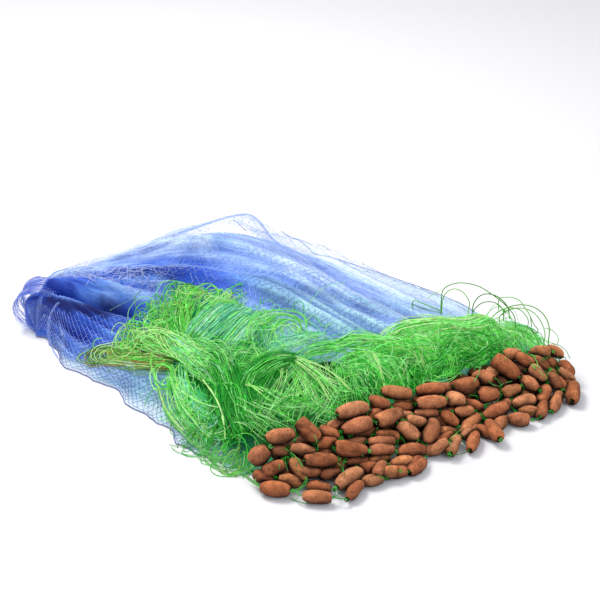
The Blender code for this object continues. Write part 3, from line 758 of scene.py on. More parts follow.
# ------------------------------------------------------------------ tones of the netting
TONES = {
    "night": srgb(4, 18, 92),
    "navy": srgb(16, 48, 150),
    "deep": srgb(34, 74, 182),
    "cobalt": srgb(58, 94, 200),
    "blue": srgb(86, 126, 218),
    "mid": srgb(128, 160, 232),
    "sky": srgb(170, 196, 246),
    "lavender": srgb(200, 216, 252),
    "haze": srgb(176, 194, 240),
    "pale": srgb(226, 235, 255),
    "steel": srgb(148, 186, 213),
    "slate": srgb(114, 150, 190),
    "ice": srgb(192, 216, 244),
    "teal": srgb(48, 168, 140),
    "sea": srgb(60, 180, 110),
}


def view(p):
    """Where the 600 x 600 view shows a point, and how far off it is."""
    x, y, z = p[..., 0] - SHIFT[0], p[..., 1] - SHIFT[1], p[..., 2]
    far = REACH + y * COS - z * SIN
    return 300 + FOCAL * x / far, 300 - FOCAL * (y * SIN + z * COS) / far, far


def spots(fan, rows):
    """Hand-placed spots given as they are seen (u, v), turned into station and share across."""
    u, v, far = view(fan.p)
    out = []
    for row in rows:
        off = np.hypot(u - row[0], v - row[1])
        pick = np.argmin(np.where(off < 2.5, far - 10.0, off))
        i, j = np.unravel_index(pick, off.shape)
        out.append((fan.a[i], fan.b[j], *row[2:]))
    return out


AZURE = np.array((0.98, 1.05, 1.0))

# The dense mass as seen from the front, painted in listed spots: place in the view, tone, cover (1 closed).
SEEN_COLUMNS = ("u", "v", "tone", "cover")
MASS_SEEN = (
    # the bulge at the folded end and the near face under the crevice
    (29, 300, "deep", 1.0), (32, 317, "deep", 0.97), (45, 310, "navy", 1.0), (44, 327, "deep", 0.97), (60, 316, "navy", 1.0),
    (60, 334, "deep", 1.0), (80, 318, "deep", 1.0), (80, 336, "navy", 1.0), (98, 318, "deep", 1.0), (98, 336, "cobalt", 1.0),
    (114, 322, "cobalt", 1.0), (116, 334, "blue", 1.0), (66, 350, "mid", 0.85), (86, 352, "blue", 0.95), (56, 346, "mid", 0.70),
    (74, 361, "ice", 0.42), (90, 368, "ice", 0.46), (105, 374, "steel", 0.70), (66, 364, "ice", 0.20), (84, 376, "ice", 0.22),
    # the crevice, painted near black as shade, and the light lip over it
    (50, 301, "night", 1.0), (57, 302, "night", 1.0), (64, 303, "night", 1.0), (72, 304, "night", 1.0), (80, 305, "night", 1.0), (88, 305, "night", 1.0), (96, 306, "night", 1.0), (104, 306, "night", 1.0),
    (64, 300, "night", 1.0), (76, 301, "night", 1.0), (88, 302, "night", 1.0), (100, 303, "night", 1.0), (112, 306, "night", 1.0), (120, 307, "navy", 1.0), (128, 307, "deep", 1.0), (138, 308, "cobalt", 1.0), (44, 291, "deep", 1.0), (54, 295, "cobalt", 1.0),
    (62, 296, "blue", 1.0), (72, 297, "blue", 1.0), (82, 296, "blue", 1.0), (92, 295, "blue", 1.0), (102, 297, "blue", 1.0), (112, 298, "blue", 1.0),
    # the hollow over the lip painted dark as shade, the crinkled fold, and the trough painted dark as shade
    (38, 283, "deep", 1.0), (48, 284, "navy", 1.0), (58, 286, "navy", 1.0), (68, 288, "navy", 1.0), (78, 288, "deep", 1.0), (88, 287, "blue", 1.0), (60, 279, "cobalt", 1.0), (76, 279, "cobalt", 1.0),
    (90, 279, "deep", 1.0), (104, 276, "blue", 1.0), (98, 288, "blue", 1.0), (106, 291, "mid", 1.0), (120, 286, "mid", 1.0), (114, 279, "blue", 1.0), (128, 280, "mid", 1.0),
    (136, 284, "mid", 1.0), (150, 288, "mid", 1.0), (122, 297, "blue", 1.0), (134, 294, "mid", 1.0), (126, 273, "deep", 1.0), (144, 276, "blue", 1.0), (156, 281, "mid", 1.0),
    (122, 268, "deep", 1.0), (132, 264, "blue", 1.0), (142, 262, "blue", 1.0), (150, 260, "blue", 1.0), (160, 259, "mid", 1.0), (170, 259, "mid", 1.0), (180, 260, "blue", 1.0), (190, 261, "blue", 1.0), (200, 262, "blue", 1.0), (164, 267, "navy", 1.0), (176, 269, "navy", 1.0), (196, 270, "deep", 1.0),
    (150, 267, "navy", 1.0), (138, 269, "navy", 1.0), (212, 270, "cobalt", 1.0), (166, 274, "navy", 1.0), (190, 277, "deep", 1.0), (206, 280, "deep", 1.0), (222, 280, "cobalt", 1.0), (232, 281, "blue", 1.0),
    (244, 290, "mid", 1.0), (180, 280, "deep", 1.0),
    # the pale upper side
    (44, 276, "sky", 0.80), (72, 272, "sky", 0.90), (100, 268, "sky", 0.95), (124, 262, "sky", 0.97), (150, 256, "pale", 1.0), (60, 270, "pale", 0.60), (90, 264, "pale", 0.60), (112, 259, "lavender", 0.70), (140, 251, "pale", 0.85),
    (176, 254, "lavender", 1.0), (194, 256, "sky", 1.0), (160, 252, "lavender", 1.0), (168, 246, "pale", 0.95), (176, 250, "pale", 1.0), (200, 239, "lavender", 1.0), (204, 247, "pale", 1.0), (214, 254, "lavender", 1.0),
    (228, 240, "mid", 1.0), (234, 252, "sky", 1.0), (236, 262, "sky", 1.0), (216, 261, "mid", 1.0), (248, 246, "sky", 1.0),
    (258, 252, "lavender", 1.0), (256, 264, "sky", 1.0), (274, 250, "lavender", 1.0), (280, 260, "pale", 1.0), (280, 270, "sky", 1.0),
    (298, 260, "lavender", 1.0), (302, 270, "lavender", 1.0), (320, 266, "haze", 1.0), (322, 277, "haze", 1.0), (340, 273, "haze", 1.0),
    (344, 283, "haze", 1.0), (366, 283, "haze", 1.0), (372, 291, "haze", 1.0), (396, 292, "lavender", 0.95), (404, 300, "ice", 0.90),
    (424, 300, "ice", 0.80), (444, 304, "ice", 0.65),
    # the steel-blue side towards the heap
    (262, 276, "slate", 1.0), (282, 280, "slate", 1.0), (300, 284, "slate", 1.0), (320, 288, "slate", 1.0), (340, 294, "steel", 1.0),
    (360, 300, "slate", 1.0), (380, 304, "steel", 1.0), (402, 309, "steel", 0.97), (264, 290, "slate", 1.0), (284, 296, "slate", 1.0),
    (308, 300, "steel", 1.0), (330, 308, "steel", 1.0), (352, 316, "steel", 1.0), (374, 322, "steel", 1.0), (258, 304, "mid", 1.0),
    (424, 314, "ice", 0.80), (396, 322, "sky", 0.95),
    # the single netting spread on the floor along the front
    (118, 379, "slate", 0.95), (136, 382, "slate", 0.95), (118, 388, "sky", 0.60), (140, 391, "steel", 0.80), (104, 380, "steel", 0.45),
    (124, 396, "ice", 0.32), (140, 404, "ice", 0.42), (152, 398, "steel", 0.75), (152, 412, "ice", 0.40), (164, 408, "ice", 0.60),
    (166, 421, "ice", 0.44), (176, 414, "steel", 0.75), (176, 430, "ice", 0.36), (192, 432, "ice", 0.50), (196, 444, "ice", 0.26),
    (154, 374, "slate", 0.95),
)
# Under the green line, where little of it is seen: station, across, tone, cover.
MASS_UNDER = (
    (4.0, 0.20, "teal", 1.0), (4.0, 0.40, "cobalt", 1.0), (4.6, 0.50, "cobalt", 1.0), (5.0, 0.24, "teal", 1.0), (5.0, 0.42, "teal", 1.0),
    (6.0, 0.20, "sea", 1.0), (6.0, 0.35, "sea", 1.0), (6.4, 0.50, "steel", 1.0), (7.0, 0.14, "sea", 0.80), (7.0, 0.30, "sea", 1.0),
    (7.2, 0.48, "steel", 1.0), (8.0, 0.10, "sea", 0.80), (8.0, 0.40, "sea", 1.0), (8.2, 0.62, "sea", 1.0), (8.6, 0.80, "sea", 0.95),
    (9.0, 0.20, "sea", 0.95), (9.0, 0.50, "sea", 1.0), (9.0, 0.80, "sea", 0.95), (9.0, 0.97, "ice", 0.60), (-0.8, 0.30, "cobalt", 1.0),
    (-0.8, 0.75, "blue", 0.95), (1.5, 0.96, "lavender", 0.42), (3.0, 0.96, "lavender", 0.42), (4.4, 0.95, "lavender", 0.50), (5.6, 0.95, "ice", 0.32),
    (6.6, 0.96, "ice", 0.20), (7.6, 0.96, "ice", 0.26), (0.5, 0.96, "sky", 0.60),
)
# The loose outer fold over it: station, across, tone, cover.
VEIL_PAINT = (
    (-0.8, 0.80, "blue", 0.50), (0.3, 0.70, "blue", 0.35), (0.4, 0.86, "sky", 0.40), (0.4, 0.97, "lavender", 0.30), (1.2, 0.70, "blue", 0.25),
    (1.3, 0.82, "lavender", 0.42), (1.5, 0.96, "lavender", 0.28), (2.2, 0.69, "blue", 0.10), (2.3, 0.78, "lavender", 0.30), (2.4, 0.88, "lavender", 0.42),
    (2.5, 0.97, "lavender", 0.26), (3.2, 0.69, "blue", 0.08), (3.2, 0.78, "lavender", 0.28), (3.3, 0.86, "pale", 0.42), (3.5, 0.97, "lavender", 0.22),
    (4.1, 0.69, "blue", 0.06), (4.1, 0.76, "lavender", 0.20), (4.2, 0.83, "lavender", 0.42), (3.8, 0.80, "lavender", 0.34), (4.4, 0.93, "lavender", 0.05), (4.7, 0.74, "pale", 0.01),
    (4.7, 0.80, "pale", 0.03), (4.75, 0.835, "sky", 0.22), (4.9, 0.93, "lavender", 0.02), (4.5, 0.88, "pale", 0.04), (4.9, 0.88, "pale", 0.03), (5.15, 0.72, "pale", 0.02), (5.1, 0.79, "pale", 0.02),
    (5.15, 0.835, "sky", 0.24), (5.4, 0.92, "lavender", 0.03), (5.3, 0.88, "pale", 0.03), (5.5, 0.70, "sky", 0.20), (5.5, 0.77, "sky", 0.45), (5.7, 0.85, "lavender", 0.12),
    (6.0, 0.72, "lavender", 0.25), (6.0, 0.80, "sky", 0.35), (6.1, 0.95, "ice", 0.06), (6.5, 0.72, "lavender", 0.30), (6.6, 0.81, "lavender", 0.40),
    (6.8, 0.90, "ice", 0.10), (6.8, 0.98, "ice", 0.08), (7.3, 0.74, "sky", 0.25), (7.3, 0.82, "lavender", 0.45), (7.4, 0.90, "lavender", 0.16),
    (7.6, 0.98, "ice", 0.14), (8.1, 0.80, "sky", 0.40), (8.2, 0.90, "lavender", 0.40), (8.3, 0.98, "ice", 0.25), (9.0, 0.85, "ice", 0.40),
)
drift_a, drift_b = Wave(31, 2, (1.4, 9.0), 3), Wave(32, 2, (1.4, 9.0), 3)


def painted(table, a, b, sharp=2.6):
    """Tone and cover at (a, b), blended between the listed spots and stretched along the folds."""
    a, b = np.broadcast_arrays(np.asarray(a, float), np.asarray(b, float))
    aa, bb = a + 0.10 * drift_a(a, b), b + 0.005 * drift_b(a, b)
    total, tone, cover = np.zeros(a.shape), np.zeros((*a.shape, 3)), np.zeros(a.shape)
    for sa, sb, name, shut in table:
        d = ((aa - sa) / 0.42) ** 2 + ((bb - sb) / 0.030) ** 2
        w = 1.0 / (0.20 + d) ** sharp
        total += w
        tone += w[..., None] * TONES[name]
        cover += w * shut
    return tone / total[..., None], cover / total


MASS_PAINT = spots(mass, MASS_SEEN) + list(MASS_UNDER)


def relief(fan):
    """How far each point of a fan's grid stands over its surroundings across the folds, in mm."""
    z = fan.p[..., 2]
    wide = np.cumsum(np.pad(z, ((0, 0), (14, 13)), mode="edge"), axis=1)
    mean = (wide[:, 27:] - np.concatenate((np.zeros((len(z), 1)), wide[:, :-28]), 1)[:, : wide.shape[1] - 27]) / 27.0
    mean = mean[:, : z.shape[1]]
    return (z - mean) * 1000.0


mass_relief, veil_relief = relief(mass), relief(veil)


def at_grid(fan, values, a, b):
    i = np.clip(((a - fan.a[0]) / (fan.a[1] - fan.a[0])).round().astype(int), 0, len(fan.a) - 1)
    j = np.clip((b / (fan.b[1] - fan.b[0])).round().astype(int), 0, len(fan.b) - 1)
    return values[i, j]


def fold_shade(tone, stand):
    """Painted light and shade from the folds' relief: ridges painted lighter as if they caught the light, troughs
    painted darker as shade.
    """
    up, down = np.clip(stand / 2.8, 0, 1)[..., None], np.clip(-stand / 3.0, 0, 1)[..., None]
    tone = tone * (1 - 0.26 * up) + (0.26 * up) * np.minimum(tone * 1.7 + 0.06, srgb(214, 224, 253))
    return tone * (1 - down * np.array((0.50, 0.42, 0.18)))


def piece(obj, slot_name, *nodes):
    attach(obj, "root")
    if nodes:
        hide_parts(*nodes)
    return obj


def sheet_from(name, fan, a, b, paint, fine_shade):
    aa, bb = np.meshgrid(a, b, indexing="ij")
    points = fan(aa, bb)
    tone, cover = painted(paint, aa, bb)
    stand = at_grid(fan, fine_shade, aa, bb)
    tone = fold_shade(tone, stand) * AZURE
    tint = np.concatenate((tone, cover[..., None]), -1)
    where = np.stack((aa, bb, np.zeros_like(aa)), -1)
    return mesh_object(name, points, grid_quads(len(a), len(b)), tint=tint, fan=where, material=net_cloth), points


mass_a = np.concatenate((np.linspace(-1, 0, 12)[:-1], np.linspace(0, 9, 190), np.linspace(9, 10, 6)[1:]))
mass_b = np.linspace(0, 1, 190)
netting_mass, mass_points = sheet_from("netting_mass", mass, mass_a, mass_b, MASS_PAINT, mass_relief)
veil_a = np.concatenate((np.linspace(-1, 0, 8)[:-1], np.linspace(0, 9, 170)))
veil_b = np.linspace(0.665, 1, 72)
netting_veil, veil_points = sheet_from("netting_outer_fold", veil, veil_a, veil_b, VEIL_PAINT, veil_relief)

# ------------------------------------------------------------------ threads of the netting
mesh_wave = (Wave(41, 2, (2.2, 26.0), 3), Wave(42, 2, (2.2, 26.0), 3), Wave(43, 2, (5.0, 60.0), 2))


# The crevice under the lip lies in shade, with no light threads over it: place in the view, its top and its bottom.
CREVICE_COLUMNS = ("u", "top", "bottom")
CREVICE = ((44, 297, 302), (52, 298, 306), (60, 299, 309), (72, 300, 311), (88, 301, 312), (104, 302, 314), (118, 303, 315), (134, 306, 314))


def in_crevice(p):
    u, v, _ = view(p + np.array((0.0, 0.0, 0.0)))
    table = np.array(CREVICE, float)
    return (u > 42) & (u < 136) & (v > np.interp(u, table[:, 0], table[:, 1])) & (v < np.interp(u, table[:, 0], table[:, 2]))


def lattice(threads, fan, a_low, a_high, a_step, b_low, b_high, b_step, cover, lift, radius, tone, seed, loose=1.0, skew=0.0, vary=0.16):
    """Diamond meshes as zigzag threads along the fan that meet at their knots. cover(a, b) is the share kept."""
    made = np.random.default_rng(seed)
    count = int((a_high - a_low) / a_step) + 1
    a = a_low + a_step * np.arange(count)
    flip = np.where(np.arange(count) % 2 == 0, 0.5, -0.5)
    wob = Wave(seed + 500, 2, (3.0, 30.0), 3)
    wob2 = Wave(seed + 900, 2, (7.0, 70.0), 2)
    for j in range(int((b_high - b_low) / b_step) + 1):
        base = b_low + b_step * j
        zig = base + b_step * flip * (1 if j % 2 == 0 else -1)
        da = a_step * (0.55 * loose * wob(a, zig) + 0.16 * loose * made.normal(size=count)) + skew * (zig - b_low)
        db = b_step * (0.8 * loose * wob2(a, zig) + 0.10 * loose * made.normal(size=count))
        ja, jb = a + da, np.clip(zig + db, 0.001, 0.999)
        keep = cover(ja, jb) > made.random(count) * 0.25 + 0.75 * (0.5 + 0.5 * mesh_wave[2](ja, jb + seed))
        up = lift(ja, jb) if callable(lift) else lift
        points = fan(ja, jb, up + 0.0003 * made.normal(size=count) * loose)
        points[:, 2] = np.maximum(points[:, 2], 0.0006)
        keep = keep & ~in_crevice(points)
        shade = tone(ja, jb) if callable(tone) else np.broadcast_to(tone, (count, 3))
        shade = shade * (1 + vary * made.normal(size=(count, 1))).clip(0.6, 1.5)
        for i, k in runs(keep, 2):
            threads.add(points[i:k], radius, shade[None, i:k])


def between(x, low, high, soft):
    return step01((x - low) / soft + 0.5) * step01((high - x) / soft + 0.5)


def net_tone(light, dark):
    return lambda a, b: light + (dark - light) * (0.5 + 0.5 * mesh_wave[0](a, b))[..., None]


# the crisp meshes on the near face of the bulge
left_mesh = Threads()
# the meshes are left out over the crevice, so its painted shade shows
lattice(
    left_mesh, mass, -0.7, 4.3, 0.078, 0.05, 0.40, 0.0135,
    lambda a, b: 1.6 * between(a, -0.9, 4.0, 0.6) * (1 - 0.99 * between(b, 0.36, 0.44, 0.02)) * (0.75 + 0.5 * between(b, 0.05, 0.34, 0.08)),
    lambda a, b: 0.0008 + 0.0003 * mesh_wave[1](a, b), 0.00032,
    net_tone(srgb(176, 200, 253), srgb(112, 146, 240)), 101, 0.35,
)
lattice(
    left_mesh, mass, 0.2, 3.6, 0.120, 0.06, 0.36, 0.026,
    lambda a, b: 0.30 * between(a, 0.3, 3.4, 0.6) * (1 - between(b, 0.30, 0.44, 0.02)), lambda a, b: 0.0018 + 0.0010 * mesh_wave[1](a, b), 0.00030,
    net_tone(srgb(206, 216, 255), srgb(150, 172, 252)), 102, 1.1, 0.8,
)
# the crinkled fold and the hollows over it, finer and more broken, in darker tones and thinned over the trough so the
# painted shade there shows
lattice(
    left_mesh, mass, 0.0, 5.4, 0.085, 0.40, 0.70, 0.0165,
    lambda a, b: 0.40 * between(a, 0.8, 5.4, 0.8) * (1 - 0.70 * between(b, 0.57, 0.72, 0.03)) * between(b, 0.445, 0.80, 0.03),
    lambda a, b: 0.0008 + 0.0008 * mesh_wave[1](a, b), 0.00022,
    net_tone(srgb(126, 154, 238), srgb(58, 94, 204)), 106, 1.1,
)
right_mesh = Threads()
lattice(
    right_mesh, mass, 3.8, 9.0, 0.070, 0.44, 0.86, 0.0140,
    lambda a, b: 0.72 * between(a, 3.8, 9.2, 0.8) * between(b, 0.46 - 0.01 * a, 0.90, 0.06),
    lambda a, b: 0.0010 + 0.0008 * mesh_wave[1](a, b), 0.00023,
    net_tone(srgb(188, 206, 242), srgb(144, 176, 230)), 103, 1.1,
)
# dark dashes, where many meshes lie over each other
lattice(
    right_mesh, mass, 5.2, 8.8, 0.055, 0.47, 0.72, 0.0125,
    lambda a, b: 0.74 * between(a, 5.0, 8.8, 0.8) * between(b, 0.47, 0.74, 0.06),
    lambda a, b: 0.0007 + 0.0003 * mesh_wave[1](a, b), 0.00028,
    net_tone(srgb(98, 138, 206), srgb(132, 168, 226)), 107, 0.8, 0.3,
)
skirt_mesh = Threads()
lattice(
    skirt_mesh, mass, 1.0, 8.6, 0.080, 0.0, 0.16, 0.0150,
    lambda a, b: 1.3 * between(a, 1.0, 8.4, 0.6), lambda a, b: 0.0008 + 0.0004 * mesh_wave[1](a, b), 0.00034,
    net_tone(srgb(58, 88, 158), srgb(100, 132, 196)), 104, 0.6,
)
lattice(
    skirt_mesh, mass, 1.4, 6.6, 0.060, 0.002, 0.14, 0.0125,
    lambda a, b: 0.45 * between(a, 1.6, 6.4, 0.6), 0.0016, 0.00024,
    net_tone(srgb(222, 236, 253), srgb(190, 214, 250)), 108, 1.1, 0.4,
)
veil_mesh = Threads()


def veil_tone(a, b):
    """Blue on the left, greyer where the fold is single at its back edge on the right."""
    share = (step01((a - 5.4) / 0.8) * step01((b - 0.80) / 0.06))[..., None]
    soft = (0.5 + 0.5 * mesh_wave[0](a, b))[..., None]
    near = srgb(146, 172, 244) + (srgb(206, 220, 252) - srgb(146, 172, 244)) * soft
    return near * (1 - share) + (srgb(112, 126, 176) * (1 - soft) + srgb(150, 168, 216) * soft) * share


lattice(
    veil_mesh, veil, -0.6, 8.8, 0.075, 0.700, 1.0, 0.0190,
    lambda a, b: 0.80 * between(a, -0.6, 8.8, 0.6) * (1 - 0.55 * between(a, 2.4, 5.9, 0.8) * between(b, 0.66, 0.76, 0.03)) * (1 - 0.75 * between(a, 4.3, 5.5, 0.5) * between(b, 0.72, 0.83, 0.03)),
    lambda a, b: 0.0006 + 0.0005 * mesh_wave[1](a, b), 0.00021, veil_tone, 105, 1.2,
)

# Light threads along the folds: gathered runs of meshes seen edge on.
streaks = Threads()


def streak(fan, a0, a1, b0, b1, lift, radius, tone, bend, n):
    t = np.linspace(0, 1, n)
    a = a0 + (a1 - a0) * t
    b = b0 + (b1 - b0) * t + bend * np.sin(np.pi * t) + 0.0025 * mesh_wave[0](a, np.full(n, b0 * 3))
    points = fan(a, np.clip(b, 0.004, 0.996), lift)
    streaks.add(points, radius * (0.55 + 0.6 * np.sin(np.pi * t))[None], tone)


STREAK_COLUMNS = ("from_station", "to_station", "across_low", "across_high", "count", "thread_mm", "tone")
STREAKS = (
    (-0.3, 2.4, 0.455, 0.50, 16, 0.24, srgb(150, 178, 250)),
    (0.9, 4.4, 0.45, 0.56, 14, 0.24, srgb(176, 198, 252)),
    (2.2, 6.8, 0.725, 0.77, 30, 0.26, srgb(206, 216, 253)),
    (4.8, 8.6, 0.66, 0.80, 26, 0.24, srgb(206, 220, 253)),
    (5.4, 8.6, 0.80, 0.88, 12, 0.22, srgb(150, 170, 236)),
    (2.0, 7.6, 0.02, 0.13, 14, 0.22, srgb(90, 130, 210)),
)
for a0, a1, b0, b1, count, thick, tone in STREAKS:
    for _ in range(count):
        s = rng.uniform(a0, max(a1 - 0.8, a0 + 0.01))
        e = min(a1, s + rng.uniform(0.6, 2.0))
        b = rng.uniform(b0, b1)
        top = veil if (b > 0.72 and rng.random() < 0.5) else mass
        streak(top, s, e, b, np.clip(b + rng.normal(0, 0.010), 0.006, 0.99), rng.uniform(0.0006, 0.0014), thick * MM * rng.uniform(0.6, 1.1), tone * rng.uniform(0.85, 1.1), rng.normal(0, 0.008), 22)

# the crinkled fold that lies over the left side, its threads caught every way
for _ in range(170):
    a, b = rng.uniform(1.7, 4.1), rng.uniform(0.45, 0.57)
    turn, size = rng.uniform(0, np.pi), rng.uniform(0.10, 0.38)
    t = np.linspace(-1, 1, 9)
    aa = a + size * t * np.cos(turn) + 0.10 * rng.normal() * (t**2)
    bb = b + size * 0.10 * t * np.sin(turn) + 0.010 * rng.normal() * (t**2)
    streaks.add(mass(aa, np.clip(bb, 0.01, 0.99), rng.uniform(0.001, 0.003)), rng.uniform(0.16, 0.34) * MM, srgb(196, 212, 254) * rng.uniform(0.75, 1.15))
# the gathered thread that rounds the bulge like a drawn loop
for k in range(5):
    rows = np.array(((60, 301, 2), (54, 308, 2), (50, 317, 2), (48.5, 327, 2), (49, 338, 2), (52, 348, 2), (58, 358, 1))) + np.array((0.5 * rng.normal(), 0.5 * rng.normal(), 0.3 * k))
    t = np.linspace(0, 1, 40)
    line = read(np.linspace(0, 1, len(rows)), rows, t)
    line[:, 0] += 0.5 * np.sin(9 * t + 2 * k)
    around = onto(net_top, line[:, 0], line[:, 1], line[:, 2] * MM)
    streaks.add(around, (0.20 + 0.10 * (k == 0)) * MM, srgb(150, 174, 246) * rng.uniform(0.8, 1.1))

# the gathered rim of the fold that stands up in an arch, as it is seen: place in the view, height in mm
RIM_COLUMNS = ("u", "v", "height_mm")
RIM = (
    (112, 257, 74), (140, 247.5, 82), (170, 236, 86), (198, 225.5, 90), (222, 217.5, 98), (238, 214, 103), (248, 213.6, 104),
    (256, 217.5, 101), (262, 224, 96), (268, 232, 89), (274, 239, 82), (284, 246, 74), (300, 254, 66), (322, 263, 58), (346, 272, 50),
)
arch = Threads()
rim_t = np.linspace(0, 1, len(RIM))
for k in range(36):
    t = np.linspace(rng.uniform(0.0, 0.30), rng.uniform(0.70, 1.0), 44)
    line = read(rim_t, np.array(RIM, float), t)
    spread = rng.normal(0, 1.15) + 0.5 * np.sin(5 * t + k)
    line[:, 0] += spread * 0.5
    line[:, 1] += np.abs(spread) * 1.25 + 0.3 * np.sin(9 * t + 2 * k)
    arch.add(seen(line[:, 0], line[:, 1], line[:, 2] * MM - 0.0015), rng.uniform(0.18, 0.32) * MM, (srgb(140, 172, 244) if k % 2 else srgb(206, 220, 253)) * rng.uniform(0.85, 1.15))
for k in range(60):
    t0 = rng.uniform(0.30, 0.68)
    top = read(rim_t, np.array(RIM, float), np.array([t0]))[0]
    t = np.linspace(0, 1, 9)
    u = top[0] + (rng.normal(0, 7) - 4) * t + 1.2 * np.sin(7 * t + k)
    v = top[1] + rng.uniform(8, 22) * t
    arch.add(seen(u, v, (top[2] - rng.uniform(4, 22) * t) * MM), 0.13 * MM, srgb(176, 198, 246) * rng.uniform(0.8, 1.2))
t = np.linspace(0, 1, 14)
arch.add(seen(233 + 13 * t, 220 + 11 * t - 1.0 * np.sin(np.pi * t), (101 - 14 * t) * MM), 0.45 * MM, srgb(78, 96, 168))

# ------------------------------------------------------------------ the loop at the folded end
LOOP_COLUMNS = ("x", "z")
LOOP_SIDE = (
    (-0.3100, 0.0560), (-0.3360, 0.0580), (-0.3580, 0.0570), (-0.3720, 0.0510), (-0.3800, 0.0400),
    (-0.3810, 0.0280), (-0.3765, 0.0140), (-0.3680, 0.0060), (-0.3560, 0.0040), (-0.3440, 0.0060),
)
LOOP_FRONT, LOOP_BACK = -0.088, -0.030


def loop_point(t, s, grow=0.0):
    """Round the loop's side (t 0 to 1), and from its front to its back (s 0 to 1)."""
    side = read(np.linspace(0, 1, len(LOOP_SIDE)), LOOP_SIDE, t)
    s = np.broadcast_to(s, np.shape(t))
    y = LOOP_FRONT + (LOOP_BACK - LOOP_FRONT) * s
    x = -0.356 + (side[..., 0] + 0.356) * (1 + grow) + 0.10 * (y - LOOP_FRONT) + 0.0015 * np.sin(9 * t + 5 * s)
    z = np.maximum(side[..., 1] * (1 + 0.5 * grow) - 0.003 * step01((s - 0.55) / 0.45) * step01((0.5 - t) / 0.4) + 0.0015 * np.sin(7 * t + 4 * s) + 0.001, 0.0012)
    hug = step01((0.26 - t) / 0.20)
    z = z * (1 - hug) + hug * (net_soft(x + SHIFT[0], y + SHIFT[1]) + 0.0012 - 0.004 * step01((0.06 - t) / 0.06))
    return np.stack((x + SHIFT[0], y + SHIFT[1], z), -1)


loop_t, loop_s = np.meshgrid(np.linspace(0, 1, 40), np.linspace(0, 1, 22), indexing="ij")
loop_points = loop_point(loop_t, loop_s, 0.02)
rim = np.maximum(step01((0.40 - loop_t) / 0.16), step01((loop_t - 0.74) / 0.2))
edge = np.maximum(step01((0.22 - loop_s) / 0.2), step01((loop_s - 0.80) / 0.18))
loop_cover = np.clip(0.08 + 0.84 * rim + 0.10 * edge, 0, 0.92) * step01((loop_t - 0.08) / 0.16) * (1 - 0.30 * step01((loop_s - 0.62) / 0.2) * step01((0.6 - loop_t) / 0.2))
loop_tone = srgb(176, 200, 248) + (srgb(30, 70, 184) - srgb(176, 200, 248)) * (rim * (1 - 0.45 * step01((loop_s - 0.62) / 0.2)))[..., None]
netting_loop = mesh_object(
    "netting_end_loop",
    loop_points,
    grid_quads(40, 22),
    tint=np.concatenate((loop_tone, loop_cover[..., None]), -1),
    fan=np.stack((loop_t * 2, loop_s * 0.3, np.zeros_like(loop_t)), -1),
    material=net_cloth,
)
end_threads = Threads()
for k in range(44):
    t = np.linspace(rng.uniform(0.04, 0.3), rng.uniform(0.86, 1.02), 34)
    s = rng.random() ** 0.8 + 0.06 * np.sin(rng.uniform(4, 9) * t + rng.uniform(0, 6)) + 0.03 * rng.normal(size=34).cumsum() / 6
    end_threads.add(loop_point(np.clip(t, 0, 1), np.clip(s, -0.03, 1.03), 0.03 + 0.02 * rng.normal()), rng.uniform(0.2, 0.34) * MM, (srgb(58, 94, 204) if k % 3 else srgb(160, 182, 240)) * rng.uniform(0.8, 1.2))
for k in range(110):
    t0, s0 = rng.uniform(0.12, 0.8), rng.uniform(0, 0.9)
    t = t0 + np.linspace(0, 0.16, 6) * rng.choice((-1, 1))
    s = s0 + np.linspace(0, 0.22, 6)
    end_threads.add(loop_point(np.clip(t, 0, 1), np.clip(s, 0, 1), 0.03), 0.22 * MM, srgb(120, 146, 236) * rng.uniform(0.8, 1.2))
t = np.linspace(0.12, 0.84, 40)
end_threads.add(loop_point(t, 0.16 + 0 * t, 0.14 * np.sin(np.pi * (t - 0.12) / 0.72)), 0.24 * MM, srgb(176, 176, 206))

# ------------------------------------------------------------------ selvedge cords
def twisted(points, radius, tone, lays=3, pitch=0.006):
    """A cord of three strands laid round each other."""
    points = np.asarray(points)
    steps = np.linalg.norm(np.diff(points, axis=0), axis=1)
    far = np.concatenate(((0,), steps.cumsum()))
    n = int(far[-1] / (pitch / 5)) + 2
    s = np.linspace(0, far[-1], n)
    line = read(far, points, s)
    along = np.gradient(line, axis=0)
    along /= np.linalg.norm(along, axis=1, keepdims=True)
    side = np.cross(along, (0, 0, 1.0))
    side /= np.linalg.norm(side, axis=1, keepdims=True)
    up = np.cross(side, along)
    made = Threads(4)
    for k in range(lays):
        turn = 2 * np.pi * (s / pitch + k / lays)
        path = line + 0.5 * radius * (np.cos(turn)[:, None] * side + np.sin(turn)[:, None] * up)
        made.add(path, 0.58 * radius, tone * (0.85 + 0.15 * k))
    return made


a = np.linspace(1.2, 8.2, 90)
x, y = plan(a, 0.0)
edge_line = np.stack((x - 0.7 * 0.0012 + 0.0004 * np.sin(23 * a), y - 0.7 * 0.0012 + 0.0006 * np.sin(17 * a), np.full(90, 0.0012)), -1)
selvedge_front = twisted(edge_line, 0.00070, srgb(78, 98, 168)).build("selvedge_cord_front", cord_thread)
a = np.linspace(5.55, 8.3, 60)
back_b = read((5.55, 5.8, 6.2, 6.8, 7.4, 8.3), (0.84, 0.93, 0.985, 0.99, 0.985, 0.97), a)
selvedge_back = twisted(veil(a, back_b, 0.0012), 0.00055, srgb(112, 130, 186)).build("selvedge_cord_back", cord_thread)

